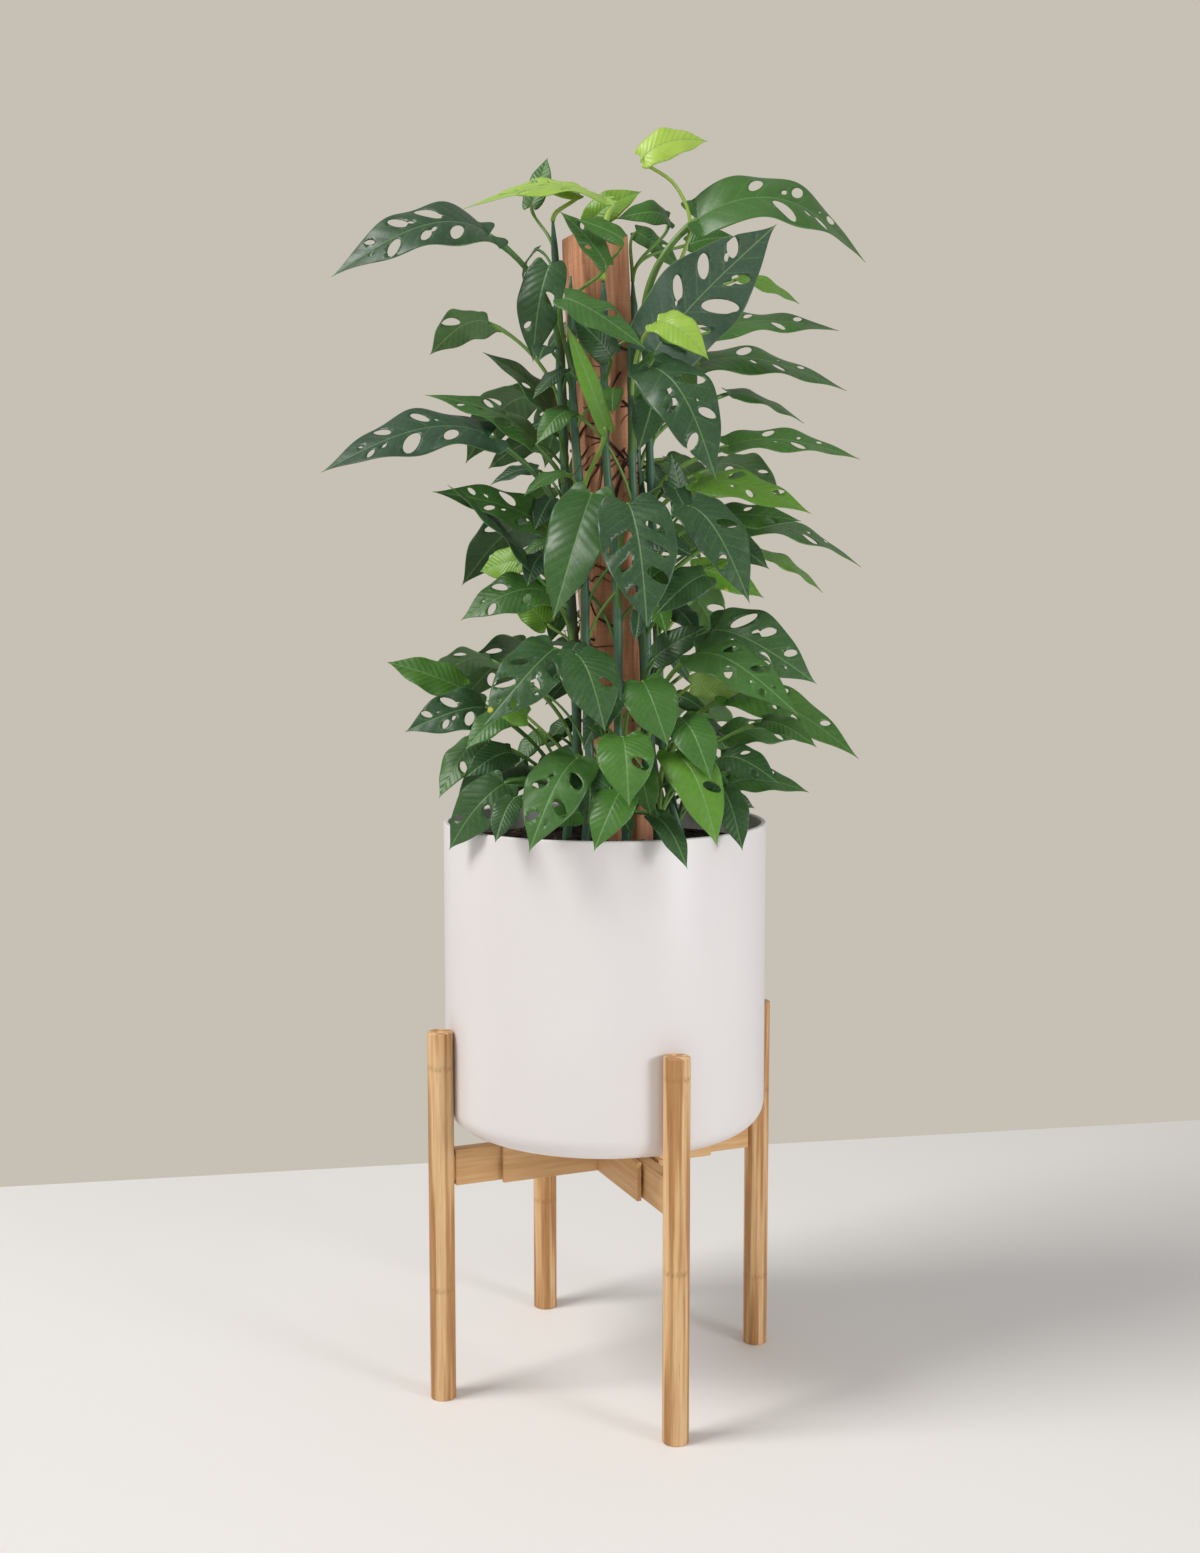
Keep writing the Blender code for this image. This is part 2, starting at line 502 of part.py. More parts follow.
def add_bolt(name, angle, nut_side, parts, cutters, surface):
    """A round-headed bolt through a slat and the tongue, with its nut beyond the tongue."""
    half_width = SLAT_SPREAD + SLAT_THICKNESS / 2 + FIT
    shaft_end = SLAT_SPREAD - SLAT_THICKNESS / 2 - FIT
    nut_height = shaft_end - TONGUE_THICKNESS / 2 - FIT
    middle_z = BAR_TOP - BAR_HEIGHT / 2
    along_y = Matrix.Rotation(math.pi / 2, 4, "X")
    shaft_start = half_width + BOLT_HEAD_HEIGHT / 2
    bolt = cylinder(f"bolt_{name}", BOLT_RADIUS * BORE_FIT, shaft_start + shaft_end,
                    BORE_SIDES, parts, surface)
    place(bolt, Matrix.Translation((0, (shaft_end - shaft_start) / 2, 0)) @ along_y)
    head = cylinder(f"head_{name}", BOLT_HEAD_RADIUS, BOLT_HEAD_HEIGHT, 12, parts)
    place(head, Matrix.Translation((0, -half_width - BOLT_HEAD_HEIGHT / 2, 0)) @ along_y)
    join = bolt.modifiers.new("head", "BOOLEAN")
    join.operation = "UNION"
    join.object = cutter(head, cutters)
    apply_modifiers(bolt)
    nut = cylinder(f"nut_{name}", NUT_RADIUS, nut_height, 6, parts, surface)
    bore = cylinder(f"bore_{name}", BOLT_RADIUS + FIT, 2 * nut_height, BORE_SIDES, parts)
    cut(nut, cutter(bore, cutters))
    apply_modifiers(nut)
    place(nut, Matrix.Translation((0, shaft_end - nut_height / 2, 0)) @ along_y)
    about_arm = Matrix.Rotation(0.0 if nut_side > 0 else math.pi, 4, "X")
    for piece in (bolt, nut):
        place(piece, bar_frame(angle) @ Matrix.Translation((BOLT_REACH, 0, middle_z))
              @ about_arm)


def half_width(s):
    """Half a blade's width at a share s of its length, as a share of the greatest."""
    return math.sin(math.pi * s ** WIDEST_AT) ** (MARGIN_FULL + MARGIN_TIP * s ** 4)


class Blade:
    """One leaf blade: its frame in space, its outline and its surface."""

    def __init__(self, base, tip, width, face, arch, holes, side, index):
        self.base = Vector(base) * CM
        self.tip = Vector(tip) * CM
        self.width = width * CM
        self.length = (self.tip - self.base).length
        self.arch = arch
        self.holes = holes
        self.phase = PHASE_STEP * index
        self.stalk_radius = STALK_RADIUS + STALK_GROWTH * self.length
        self.along = (self.tip - self.base).normalized()
        turn = math.radians(face)
        up = Vector((0, 0, 1)) * math.cos(turn) + side * math.sin(turn)
        self.normal = (up - self.along * up.dot(self.along)).normalized()
        self.across = self.normal.cross(self.along)

    def surface(self, a, b):
        """The place in space of a point a along and b across the flat blade."""
        s = a / self.length
        x = b / (self.width / 2)
        bow = math.sin(math.pi * min(max(s, 0.0), 1.0) ** ARCH_FORWARD)
        fold = BLADE_FOLD + FOLD_VARIES * math.sin(1.7 * self.phase + math.copysign(0.8, b))
        rise = self.arch * self.length * bow + fold * abs(b)
        rise -= BLADE_CURL * self.width * x * x
        rise += BLADE_WAVE * self.width * x * x * math.sin(
            2 * math.pi * WAVES_PER_BLADE * s + self.phase + math.copysign(0.9, b))
        aside = b + BLADE_SWEEP * self.length * bow * math.sin(2.3 * self.phase)
        return self.base + self.along * a + self.across * aside + self.normal * rise

    def edge(self, s, side):
        """The flat margin at a share s of the length, on side -1 or 1."""
        half = half_width(s)
        a = self.length * (s - LOBE_SWEEP * half * (1 - s) ** 8)
        return (a, side * half * self.width / 2)

    def outline(self):
        """Flat points round the margin, from the stalk up one side and back."""
        shares = (0.03, 0.14, 0.32, 0.52, 0.7, 0.86)
        if self.length < LARGE_LEAF:
            shares = (0.03, 0.18, 0.44, 0.75)
        right = [self.edge(s, 1) for s in shares]
        left = [self.edge(s, -1) for s in reversed(shares)]
        neck = self.stalk_radius * STALK_HALF
        return [(0.0, neck)] + right + [(self.length, 0.0)] + left + [(0.0, -neck)]

    def hole_rings(self):
        """The holes: slanted ovals between the side veins, on both halves."""
        rings = []
        for number in range(self.holes):
            side = 1 if number % 2 == 0 else -1
            s = HOLES_FROM + HOLES_SPAN * (number + 0.5) / self.holes
            half = half_width(s) * self.width / 2
            size = 1.0 + HOLE_VARIES * math.sin(2.1 * number + self.phase)
            long_radius = HOLE_LENGTH * half * size
            pitch = HOLES_SPAN * self.length / max(self.holes, 3)
            short_radius = min(HOLE_WIDTH * pitch * size, HOLE_ROUNDEST * long_radius)
            center = Vector((s * self.length, side * HOLE_MIDDLE * half))
            axis = Vector((math.cos(VEIN_LEAN), side * math.sin(VEIN_LEAN)))
            cross = Vector((-axis.y, axis.x))
            ring = []
            corners = 5 if self.length >= LARGE_LEAF else 4
            for corner in range(corners):
                turn = 2 * math.pi * corner / corners
                ring.append(tuple(center + axis * long_radius * math.cos(turn)
                                  + cross * short_radius * math.sin(turn)))
            rings.append(ring)
        return rings

    def build(self, name, collection):
        """Triangles between the margin, the midrib and the holes, thickened."""
        outline = self.outline()
        ribs = (0.3, 0.65) if self.length >= LARGE_LEAF else (0.45,)
        points = [Vector(p) for p in outline]
        first_rib = len(points)
        points += [Vector((s * self.length, 0.0)) for s in ribs]
        chain = list(range(first_rib, first_rib + len(ribs))) + [len(outline) // 2]
        edges = list(zip(chain, chain[1:]))
        holes = []
        for ring in self.hole_rings():
            start = len(points)
            points += [Vector(p) for p in ring]
            count = len(ring)
            edges += [(start + i, start + (i + 1) % count) for i in range(count)]
            holes.append(points[start:])
        flat, _, faces, _, _, _ = delaunay_2d_cdt(
            points, edges, [list(range(len(outline)))], 1, 1e-7)
        bm = bmesh.new()
        verts = [bm.verts.new(self.surface(p.x, p.y)) for p in flat]
        for face in faces:
            middle = sum((flat[i] for i in face), Vector((0, 0))) / 3
            if not any(inside(middle, hole) for hole in holes):
                bm.faces.new([verts[i] for i in face])
        blade = mesh_object(name, bm, collection)
        thick = blade.modifiers.new("thickness", "SOLIDIFY")
        thick.thickness = BLADE_THICKNESS
        thick.offset = 0.0
        return apply_modifiers(blade)

    def draw_out_stalk(self, target, path):
        """Draw the wall at the blade's base out along a path, as its stalk."""
        bm = bmesh.new()
        bm.from_mesh(target.data)
        neck = sorted(bm.verts, key=lambda v: (v.co - self.base).length)[:4]
        wall = next(f for f in neck[0].link_faces if set(f.verts) == set(neck))
        ring = list(wall.verts)
        neck_side = self.stalk_radius * STALK_HALF
        corners = []
        for vert in ring:
            x = math.copysign(1, (vert.co - self.base).dot(self.across))
            middle = self.surface(0.0, x * neck_side)
            corners.append((x, math.copysign(1, (vert.co - middle).dot(self.normal))))
        bm.faces.remove(wall)
        side = self.across.copy()
        up = self.normal.copy()
        last = self.along
        ahead = [self.base] + path[:-1]
        behind = path[1:] + path[-1:]
        for center, before, after in zip(path, ahead, behind):
            along = (before - after).normalized()
            bend = last.rotation_difference(along)
            side.rotate(bend)
            up.rotate(bend)
            last = along
            new = [bm.verts.new(center + (side * x + up * y) * self.stalk_radius * STALK_HALF)
                   for x, y in corners]
            for i in range(4):
                bm.faces.new((ring[i], ring[i - 1], new[i - 1], new[i]))
            ring = new
        bm.faces.new(ring)
        bmesh.ops.recalc_face_normals(bm, faces=bm.faces)
        bm.to_mesh(target.data)
        bm.free()


def inside(point, ring):
    """Whether a flat point lies inside a convex ring."""
    signs = []
    for first, second in zip(ring, ring[1:] + ring[:1]):
        edge = second - first
        away = point - first
        signs.append(edge.x * away.y - edge.y * away.x > 0)
    return all(signs) or not any(signs)


def tube(name, points, radii, sides_step, collection):
    """A closed tube through the points, as a mesh."""
    curve = bpy.data.curves.new(name, "CURVE")
    curve.dimensions = "3D"
    curve.bevel_depth = 1.0
    curve.bevel_resolution = sides_step
    curve.use_fill_caps = True
    spline = curve.splines.new("POLY")
    spline.points.add(len(points) - 1)
    for spot, position, radius in zip(spline.points, points, radii):
        spot.co = (*position, 1.0)
        spot.radius = radius
    guide = bpy.data.objects.new(name, curve)
    collection.objects.link(guide)
    mesh = evaluated_mesh(guide)
    bpy.data.objects.remove(guide)
    bm = bmesh.new()
    bm.from_mesh(mesh)
    bmesh.ops.remove_doubles(bm, verts=bm.verts, dist=0.00005)
    return mesh_object(name, bm, collection)


def stalk_path(start, blade, way):
    """The stalk's path, from behind the blade's base down to the stem."""
    places = [Vector(p) * CM for p in reversed(way)] + [start]
    arrive = blade.along * 0.5 + (blade.base - places[0]).normalized() * 0.7
    arrive.normalize()
    path = [blade.base - arrive * STALK_NECK]
    if way:
        return path + places
    span = (blade.base - start).length
    rise = start + Vector((0, 0, 0.4 * span))
    before = blade.base - arrive * 0.3 * span
    for t in (0.5, 0.0) if span < SHORT_STALK else (0.67, 0.33, 0.0):
        path.append(start * (1 - t) ** 3 + rise * 3 * t * (1 - t) ** 2
                    + before * 3 * t * t * (1 - t) + blade.base * t ** 3)
    return path


def back_blades(angle):
    """Blades for a stem at the back, as rows like those in STEMS."""
    rows = []
    for number in range(BACK_BLADES):
        turn = math.radians(angle + BACK_SPREAD * (-1) ** number)
        outward = Vector((math.cos(turn), math.sin(turn), 0))
        share = number / (BACK_BLADES - 1)
        height = BACK_LOWEST + (1 - BACK_LOWEST) * share
        length = BACK_LENGTH * (1.0 - 0.25 * share)
        base = post_middle(height) + outward * BACK_BASE_REACH * (1.0 - 0.2 * share)
        tip = base + outward * length * BACK_OUTWARD - Vector((0, 0, BACK_FALL))
        rows.append((tuple(base / CM), tuple(tip / CM), length * 0.5 / CM, 40, BACK_ARCH,
                     2))
    return rows


def add_vine(name, stem, index, parts, surface):
    """One climbing stem with its stalks and blades, fused into one body."""
    angle, reach, top, side, rows = stem
    if side is BACK:
        rows = back_blades(angle)
    twigs = new_collection(f"{name}_leaves")
    bottom = SOIL_Z - STEM_IN_SOIL
    count = max(3, round((top * CM - SOIL_Z) / STEM_STEP))
    first = SOIL_Z + STEM_STRAIGHT
    heights = [bottom] + [first + (top * CM - first) * i / count
                          for i in range(count + 1)]
    path = [stem_point(angle, reach * CM, z, index) for z in heights]
    radii = [STEM_RADIUS * (1.0 if i < 2 else 1.0 - STEM_TAPER * i / len(path))
             for i in range(len(path))]
    vine = tube(name, path, radii, 1, parts)
    vine.data.materials.append(surface)
    for number, row in enumerate(rows):
        blade = Blade(*row, side, number + index)
        leaf = blade.build(f"{name}_leaf_{number}", twigs)
        out = math.hypot(blade.base.x - path[2].x, blade.base.y - path[2].y)
        start_z = min(max(blade.base.z - STALK_RISE * out, SOIL_Z + 1.5 * CM),
                      top * CM - 0.5 * CM)
        start = stem_point(angle, reach * CM, start_z, index)
        blade.draw_out_stalk(leaf, stalk_path(start, blade, STALK_WAYS.get((name, number), ())))
    fuse = vine.modifiers.new("leaves", "BOOLEAN")
    fuse.operation = "UNION"
    fuse.operand_type = "COLLECTION"
    fuse.collection = twigs
    fuse.solver = "EXACT"
    apply_modifiers(vine)
    for piece in list(twigs.objects):
        bpy.data.objects.remove(piece)
    bpy.data.collections.remove(twigs)


def main():
    for existing in list(bpy.data.objects):
        bpy.data.objects.remove(existing)
    parts = new_collection("monstera_adansonii")
    cutters = new_collection("cutters")
    ceramic = (0.80, 0.77, 0.76)
    bamboo = (0.62, 0.40, 0.20)
    add_pot(parts, material("white ceramic", ceramic, 0.35))
    add_soil(parts, cutters, material("soil", (0.03, 0.02, 0.015), 0.95))
    add_post(parts, material("sawn timber", (0.42, 0.20, 0.10), 0.9))
    add_slats(parts, cutters, material("bamboo slat", bamboo, 0.5))
    for name, (angle, nut_side) in LEGS.items():
        add_leg(name, angle, parts, cutters, material(f"bamboo leg {name}", bamboo, 0.45))
        add_tongue(name, angle, parts, cutters, material(f"bamboo arm {name}", bamboo, 0.5))
        add_bolt(name, angle, nut_side, parts, cutters,
                 material(f"black steel {name}", (0.02, 0.02, 0.02), 0.4, 1.0))
    for index, (name, stem) in enumerate(STEMS.items()):
        green = material(f"leaf green {name}", (0.03, 0.10, 0.03), 0.4)
        add_vine(name, stem, index, parts, green)


main()
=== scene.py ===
# %% [markdown]
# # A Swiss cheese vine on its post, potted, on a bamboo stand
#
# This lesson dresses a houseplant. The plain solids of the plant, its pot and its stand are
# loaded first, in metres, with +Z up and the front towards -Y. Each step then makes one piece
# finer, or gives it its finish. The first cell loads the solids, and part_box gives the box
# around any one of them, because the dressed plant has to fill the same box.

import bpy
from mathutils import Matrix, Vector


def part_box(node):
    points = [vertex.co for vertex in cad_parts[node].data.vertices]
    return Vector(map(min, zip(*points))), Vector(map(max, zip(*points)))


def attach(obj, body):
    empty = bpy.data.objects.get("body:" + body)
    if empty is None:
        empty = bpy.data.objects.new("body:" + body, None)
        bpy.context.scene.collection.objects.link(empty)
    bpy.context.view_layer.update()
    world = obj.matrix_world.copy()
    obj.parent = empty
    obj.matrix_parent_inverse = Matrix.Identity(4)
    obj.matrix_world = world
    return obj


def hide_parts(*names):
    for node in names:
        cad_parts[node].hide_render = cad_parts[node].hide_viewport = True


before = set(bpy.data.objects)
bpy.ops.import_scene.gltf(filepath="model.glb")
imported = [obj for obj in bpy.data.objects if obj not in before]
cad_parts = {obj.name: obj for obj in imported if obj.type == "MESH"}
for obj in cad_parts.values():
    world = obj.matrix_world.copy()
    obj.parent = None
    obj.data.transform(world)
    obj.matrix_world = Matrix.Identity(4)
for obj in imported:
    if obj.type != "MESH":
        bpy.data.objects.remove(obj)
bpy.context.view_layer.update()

# %% Tools for the rest of the lesson
import math
import random

import bmesh
import bpy
from mathutils import Matrix, Vector, noise

MM = 0.001
CM = 0.01
Z = Vector((0, 0, 1))
print("one unit is a metre, so a millimetre is", MM)

# %% [markdown]
# ## The camera
#
# The photograph is upright, 1200 pixels wide and 1553 high. It was taken from a little above
# the pot's rim, with a lens near 41 mm for a picture that is 36 mm on its long side. The
# camera looks along +Y and down by less than six degrees, so the uprights stay nearly
# parallel.

# %% The camera
LENS = 40.9
LONG_SIDE = 36.0
CAMERA_PLACE = (-0.0046, -1.662, 0.749)
CAMERA_TILT = 5.75


def add_object(name, data):
    """Put data in the scene as an object at the origin."""
    made = bpy.data.objects.new(name, data)
    bpy.context.scene.collection.objects.link(made)
    return made


camera_data = bpy.data.cameras.new("photo_camera")
camera_data.lens = LENS
camera_data.sensor_width = LONG_SIDE
camera = add_object("photo_camera", camera_data)
camera.location = CAMERA_PLACE
camera.rotation_euler = (math.radians(90 - CAMERA_TILT), 0, 0)
bpy.context.scene.camera = camera
print("camera at", tuple(camera.location), "with a", camera_data.lens, "mm lens")

# %% [markdown]
# ## The studio
#
# The floor is a pale sheet that ends at a slanted line behind the stand, as in the
# photograph. What is seen beyond it is the sky of the scene, in the beige of a wall: a real
# wall there would hide the plant from a camera that goes round to the back. The sky also
# gives the even light of the studio. One large lamp on the left draws the soft shadows to the
# right, and a weak one on the right opens the dark side of the leaves.

# %% The floor and what is behind it
def linear(red, green, blue):
    """A colour as seen on a screen, 0 to 255, in the light values that shaders take.

    The numbers are those of the sRGB curve, which screens follow.
    """
    values = []
    for value in (red, green, blue):
        share = value / 255
        values.append(share / 12.92 if share <= 0.04045 else ((share + 0.055) / 1.055) ** 2.4)
    return (*values, 1.0)


def link_mesh(name, bm, materials=()):
    """Put a bmesh in the scene as an object at the origin."""
    mesh = bpy.data.meshes.new(name)
    bm.to_mesh(mesh)
    bm.free()
    for surface in materials:
        mesh.materials.append(surface)
    return add_object(name, mesh)


def cut(bm, point, normal, clear_outer=False):
    """Cut a bmesh along a plane, and clear what lies on the side its normal points to."""
    bmesh.ops.bisect_plane(bm, geom=bm.faces[:] + bm.edges[:] + bm.verts[:], plane_co=point,
                           plane_no=normal, clear_outer=clear_outer)


FLOOR_END_LEFT = Vector((-0.773, 0.532, 0.0))
FLOOR_END_RIGHT = Vector((0.862, 0.824, 0.0))
FLOOR_SIDE = 12.0

floor_bm = bmesh.new()
bmesh.ops.create_grid(floor_bm, x_segments=1, y_segments=1, size=FLOOR_SIDE / 2)
cut(floor_bm, FLOOR_END_LEFT, -(FLOOR_END_RIGHT - FLOOR_END_LEFT).cross(Z), clear_outer=True)
floor = link_mesh("studio_floor", floor_bm)
print("floor reaches from y", min(v.co.y for v in floor.data.vertices), "to",
      max(v.co.y for v in floor.data.vertices))

# %% The sky: a beige backdrop, and its even light
SKY_LIGHT = 0.43
SKY_WHITE = linear(252, 250, 248)
WALL_BEIGE = linear(199, 192, 180)
world = bpy.data.worlds.new("studio_sky")
bpy.context.scene.world = world
world.use_nodes = True
sky = world.node_tree
seen = sky.nodes.new("ShaderNodeBackground")
seen.inputs["Color"].default_value = WALL_BEIGE
light_way = sky.nodes.new("ShaderNodeLightPath")
choose = sky.nodes.new("ShaderNodeMixShader")
even = sky.nodes["Background"]
even.inputs["Color"].default_value = SKY_WHITE
even.inputs["Strength"].default_value = SKY_LIGHT
sky.links.new(light_way.outputs["Is Camera Ray"], choose.inputs[0])
sky.links.new(even.outputs[0], choose.inputs[1])
sky.links.new(seen.outputs[0], choose.inputs[2])
sky.links.new(choose.outputs[0], sky.nodes["World Output"].inputs["Surface"])
bpy.context.scene.view_settings.view_transform = "Standard"
print("sky light", SKY_LIGHT)


# %% The lamps
def add_lamp(name, place, aim, size, power, color, spread=180):
    """A square area lamp at a place that shines towards another."""
    lamp = bpy.data.lights.new(name, "AREA")
    lamp.size = size
    lamp.energy = power
    lamp.color = color[:3]
    lamp.spread = math.radians(spread)
    holder = add_object(name, lamp)
    holder.location = place
    holder.rotation_euler = (Vector(aim) - Vector(place)).to_track_quat("-Z", "Y").to_euler()
    return holder


key_lamp = add_lamp("window_left", place=(-3.0, -1.25, 4.2), aim=(0, 0, 0.5), size=1.8,
                    power=168, color=linear(255, 253, 251))
fill_lamp = add_lamp("fill_right", place=(1.95, -1.6, 0.85), aim=(0, 0, 0.55), size=0.7,
                     power=4.2, color=linear(250, 251, 255), spread=70)
print("lamps:", key_lamp.name, fill_lamp.name)

# %% [markdown]
# ## Writing shaders as sums
#
# A surface gets its finish from a node tree. Trees are long to write link by link, so two
# small classes help. A `Socket` is one output in a tree, and adding or multiplying it adds
# the Math node that does so. A `Finish` is a material, and its one method `node` adds any
# other node with its settings and its inputs.

# %% Shader maths
class Socket:
    """One output of a node, which can be used in a sum."""

    def __init__(self, finish, output):
        self.finish = finish
        self.output = output

    def math(self, operation, *others):
        return self.finish.node("ShaderNodeMath", {"operation": operation}, (self, *others))

    def __add__(self, other):
        return self.math("ADD", other)

    def __sub__(self, other):
        return self.math("SUBTRACT", other)

    def __mul__(self, other):
        return self.math("MULTIPLY", other)

    def __truediv__(self, other):
        return self.math("DIVIDE", other)

    def __rsub__(self, other):
        return self.finish.node("ShaderNodeMath", {"operation": "SUBTRACT"}, (other, self))

    __radd__ = __add__
    __rmul__ = __mul__

    def band(self, low, high):
        """0 below the low value and 1 above the high one, with a soft step between."""
        return self.finish.node("ShaderNodeMapRange", {"interpolation_type": "SMOOTHSTEP"},
                                {"Value": self, "From Min": low, "From Max": high})


def socket_name(word):
    """The shader's name for an input: base_color is Base Color."""
    return word.replace("_", " ").title().replace("Ior", "IOR")


class Finish:
    """A material with a Principled shader, made node by node."""

    def __init__(self, name, **uniform):
        self.material = bpy.data.materials.new(name)
        self.material.use_nodes = True
        self.tree = self.material.node_tree
        self.shader = self.tree.nodes["Principled BSDF"]
        for key, value in uniform.items():
            self.shader.inputs[socket_name(key)].default_value = value

    def node(self, kind, settings=None, inputs=(), output=0):
        made = self.tree.nodes.new(kind)
        for key, value in (settings or {}).items():
            if key == "stops":
                self.set_stops(made.color_ramp, value)
            else:
                setattr(made, key, value)
        pairs = inputs.items() if isinstance(inputs, dict) else enumerate(inputs)
        for key, value in pairs:
            if isinstance(value, Socket):
                self.tree.links.new(value.output, made.inputs[key])
            else:
                made.inputs[key].default_value = value
        return Socket(self, made.outputs[output])

    def set_stops(self, ramp, stops):
        while len(ramp.elements) < len(stops):
            ramp.elements.new(0.5)
        for element, (place, color) in zip(ramp.elements, stops):
            element.position = place
            element.color = color

    def ramp(self, factor, *rows):
        """A ramp through colours, each given as its place and its red, green and blue."""
        stops = [(place, linear(*color)) for place, *color in rows]
        return self.node("ShaderNodeValToRGB", {"stops": stops}, (factor,))

    def mix(self, factor, first, second):
        """Two colours mixed. The Mix node keeps its colours in inputs 6 and 7."""
        return self.node("ShaderNodeMix", {"data_type": "RGBA"},
                         {0: factor, 6: first, 7: second}, output=2)

    def spot(self):
        return self.node("ShaderNodeTexCoord", output="Object")

    def place(self, scale=(1, 1, 1)):
        """Object coordinates, stretched."""
        return self.node("ShaderNodeMapping", {}, {"Vector": self.spot(), "Scale": scale})

    def attribute(self, name):
        return self.node("ShaderNodeAttribute", {"attribute_name": name}, output="Fac")

    def noise(self, vector, scale, detail=3.0, roughness=0.55):
        return self.node("ShaderNodeTexNoise", {}, {"Vector": vector, "Scale": scale,
                                                    "Detail": detail, "Roughness": roughness})

    def drive(self, **sockets):
        """Link sockets to the shader, which takes them by their names."""
        for key, value in sockets.items():
            self.tree.links.new(value.output, self.shader.inputs[socket_name(key)])
        return self.material

    def bump(self, height, depth, strength):
        return self.node("ShaderNodeBump", {}, {"Height": height, "Distance": depth,
                                                "Strength": strength})


print("shader helpers ready")


# %% [markdown]
# The floor is smooth painted board: nearly white, a little warm, and matt.

# %% The floor's finish
floor_finish = Finish("pale_floor", roughness=0.62)
floor_cloud = floor_finish.noise(floor_finish.place(), 1.3, 2.0)
floor.data.materials.append(floor_finish.drive(
    base_color=floor_finish.mix(floor_cloud, linear(236, 233, 230), linear(240, 238, 235))))
print("floor finish done")

# %% [markdown]
# ## The pot
#
# The pot is a plain cylinder of glazed stoneware with a rounded lower edge, a thin lip and a
# narrower foot that can't be seen from the front. It is a turned shape, so a profile of a few
# vertices is spun round the axis. Its radius and its height come from the plain solid's box.
# The glaze is satin: it shows soft bands of light, and very faint clouds in its white.

# %% Turning a profile
def shade_smooth(bm):
    """Shade all faces of a bmesh smooth."""
    for face in bm.faces:
        face.smooth = True


def turned(name, profile, steps, materials):
    """Spin a profile, given as (radius, height) from the inside over the rim, about Z."""
    bm = bmesh.new()
    chain = [bm.verts.new((radius, 0, height)) for radius, height in profile]
    edges = [bm.edges.new(pair) for pair in zip(chain, chain[1:])]
    bmesh.ops.spin(bm, geom=chain + edges, cent=(0, 0, 0), axis=Z, angle=math.tau,
                   steps=steps, use_merge=True)
    bmesh.ops.remove_doubles(bm, verts=bm.verts, dist=0.02 * MM)
    bmesh.ops.recalc_face_normals(bm, faces=bm.faces)
    shade_smooth(bm)
    return link_mesh(name, bm, materials)


def arc(center, radius, start, end, steps):
    """Points on an arc of the profile, with its angles in degrees."""
    turns = [math.radians(start + (end - start) * i / steps) for i in range(steps + 1)]
    return [(center[0] + radius * math.cos(t), center[1] + radius * math.sin(t)) for t in turns]


def adopt(piece, slot, *nodes):
    """The piece rides with the plant and stands for its solids. Its slot is not used."""
    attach(piece, "root")
    if nodes:
        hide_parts(*nodes)
    print(piece.name, "has", len(piece.data.polygons), "faces")
    return piece


pot_low, pot_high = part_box("pot")
POT_RADIUS = pot_high.x
POT_WALL = 5.0 * MM
POT_FLOOR = 8.0 * MM
POT_FOOT = 13.0 * MM
POT_FOOT_RADIUS = 80.0 * MM
POT_EDGE = 22.0 * MM
POT_HOLLOW_EDGE = 17.0 * MM
POT_LIP = 1.6 * MM
POT_STEPS = 160
POT_BASE_Z = pot_low.z
POT_BODY_Z = POT_BASE_Z + POT_FOOT
POT_TOP_Z = pot_high.z
print("pot radius", POT_RADIUS, "from", POT_BASE_Z, "to", POT_TOP_Z)

# %% The pot itself
POT_HOLLOW = POT_RADIUS - POT_WALL
pot_profile = [(0.0, POT_BODY_Z + POT_FLOOR)]
pot_profile += arc((POT_HOLLOW - POT_HOLLOW_EDGE, POT_BODY_Z + POT_FLOOR + POT_HOLLOW_EDGE),
                   POT_HOLLOW_EDGE, -90, 0, 8)
pot_profile += arc((POT_HOLLOW + POT_LIP, POT_TOP_Z - POT_LIP), POT_LIP, 180, 90, 5)
pot_profile += arc((POT_RADIUS - POT_LIP, POT_TOP_Z - POT_LIP), POT_LIP, 90, 0, 5)
pot_profile += arc((POT_RADIUS - POT_EDGE, POT_BODY_Z + POT_EDGE), POT_EDGE, 0, -90, 12)
pot_profile += arc((POT_FOOT_RADIUS - MM, POT_BASE_Z + MM), MM, 0, -90, 3)
pot_profile += [(0.0, POT_BASE_Z)]

glaze = Finish("satin_white_glaze", specular_ior_level=0.5)
glaze_cloud = glaze.noise(glaze.place((1, 1, 0.6)), 9.0, 4.0)
glaze_grain = glaze.noise(glaze.place(), 900.0, 2.0)
glaze_bump = glaze.bump(glaze_cloud * 0.5 + glaze_grain * 0.06, 0.6 * MM, 0.5)
white_glaze = glaze.drive(
    base_color=glaze.mix(glaze_cloud, linear(226, 221, 220), linear(234, 230, 229)),
    roughness=0.30 + glaze_cloud * 0.1, normal=glaze_bump)
adopt(turned("stoneware_pot", pot_profile, POT_STEPS, [white_glaze]), "ceramic", "pot")

# %% [markdown]
# ## The bamboo stand
#
# Four turned legs stand round the pot. Two crossbars of slats carry it, and each leg has an
# arm between two slats, held by a dark bolt. Bamboo strips are glued side by side and
# turned, so the wood shows strips in two or three tones, fine fibres along its length and,
# here and there, the broken ring of a node.

# %% The bamboo finish
RING_HEIGHT = 4.5 * MM
BAMBOO_STRETCH = (420, 420, 14)


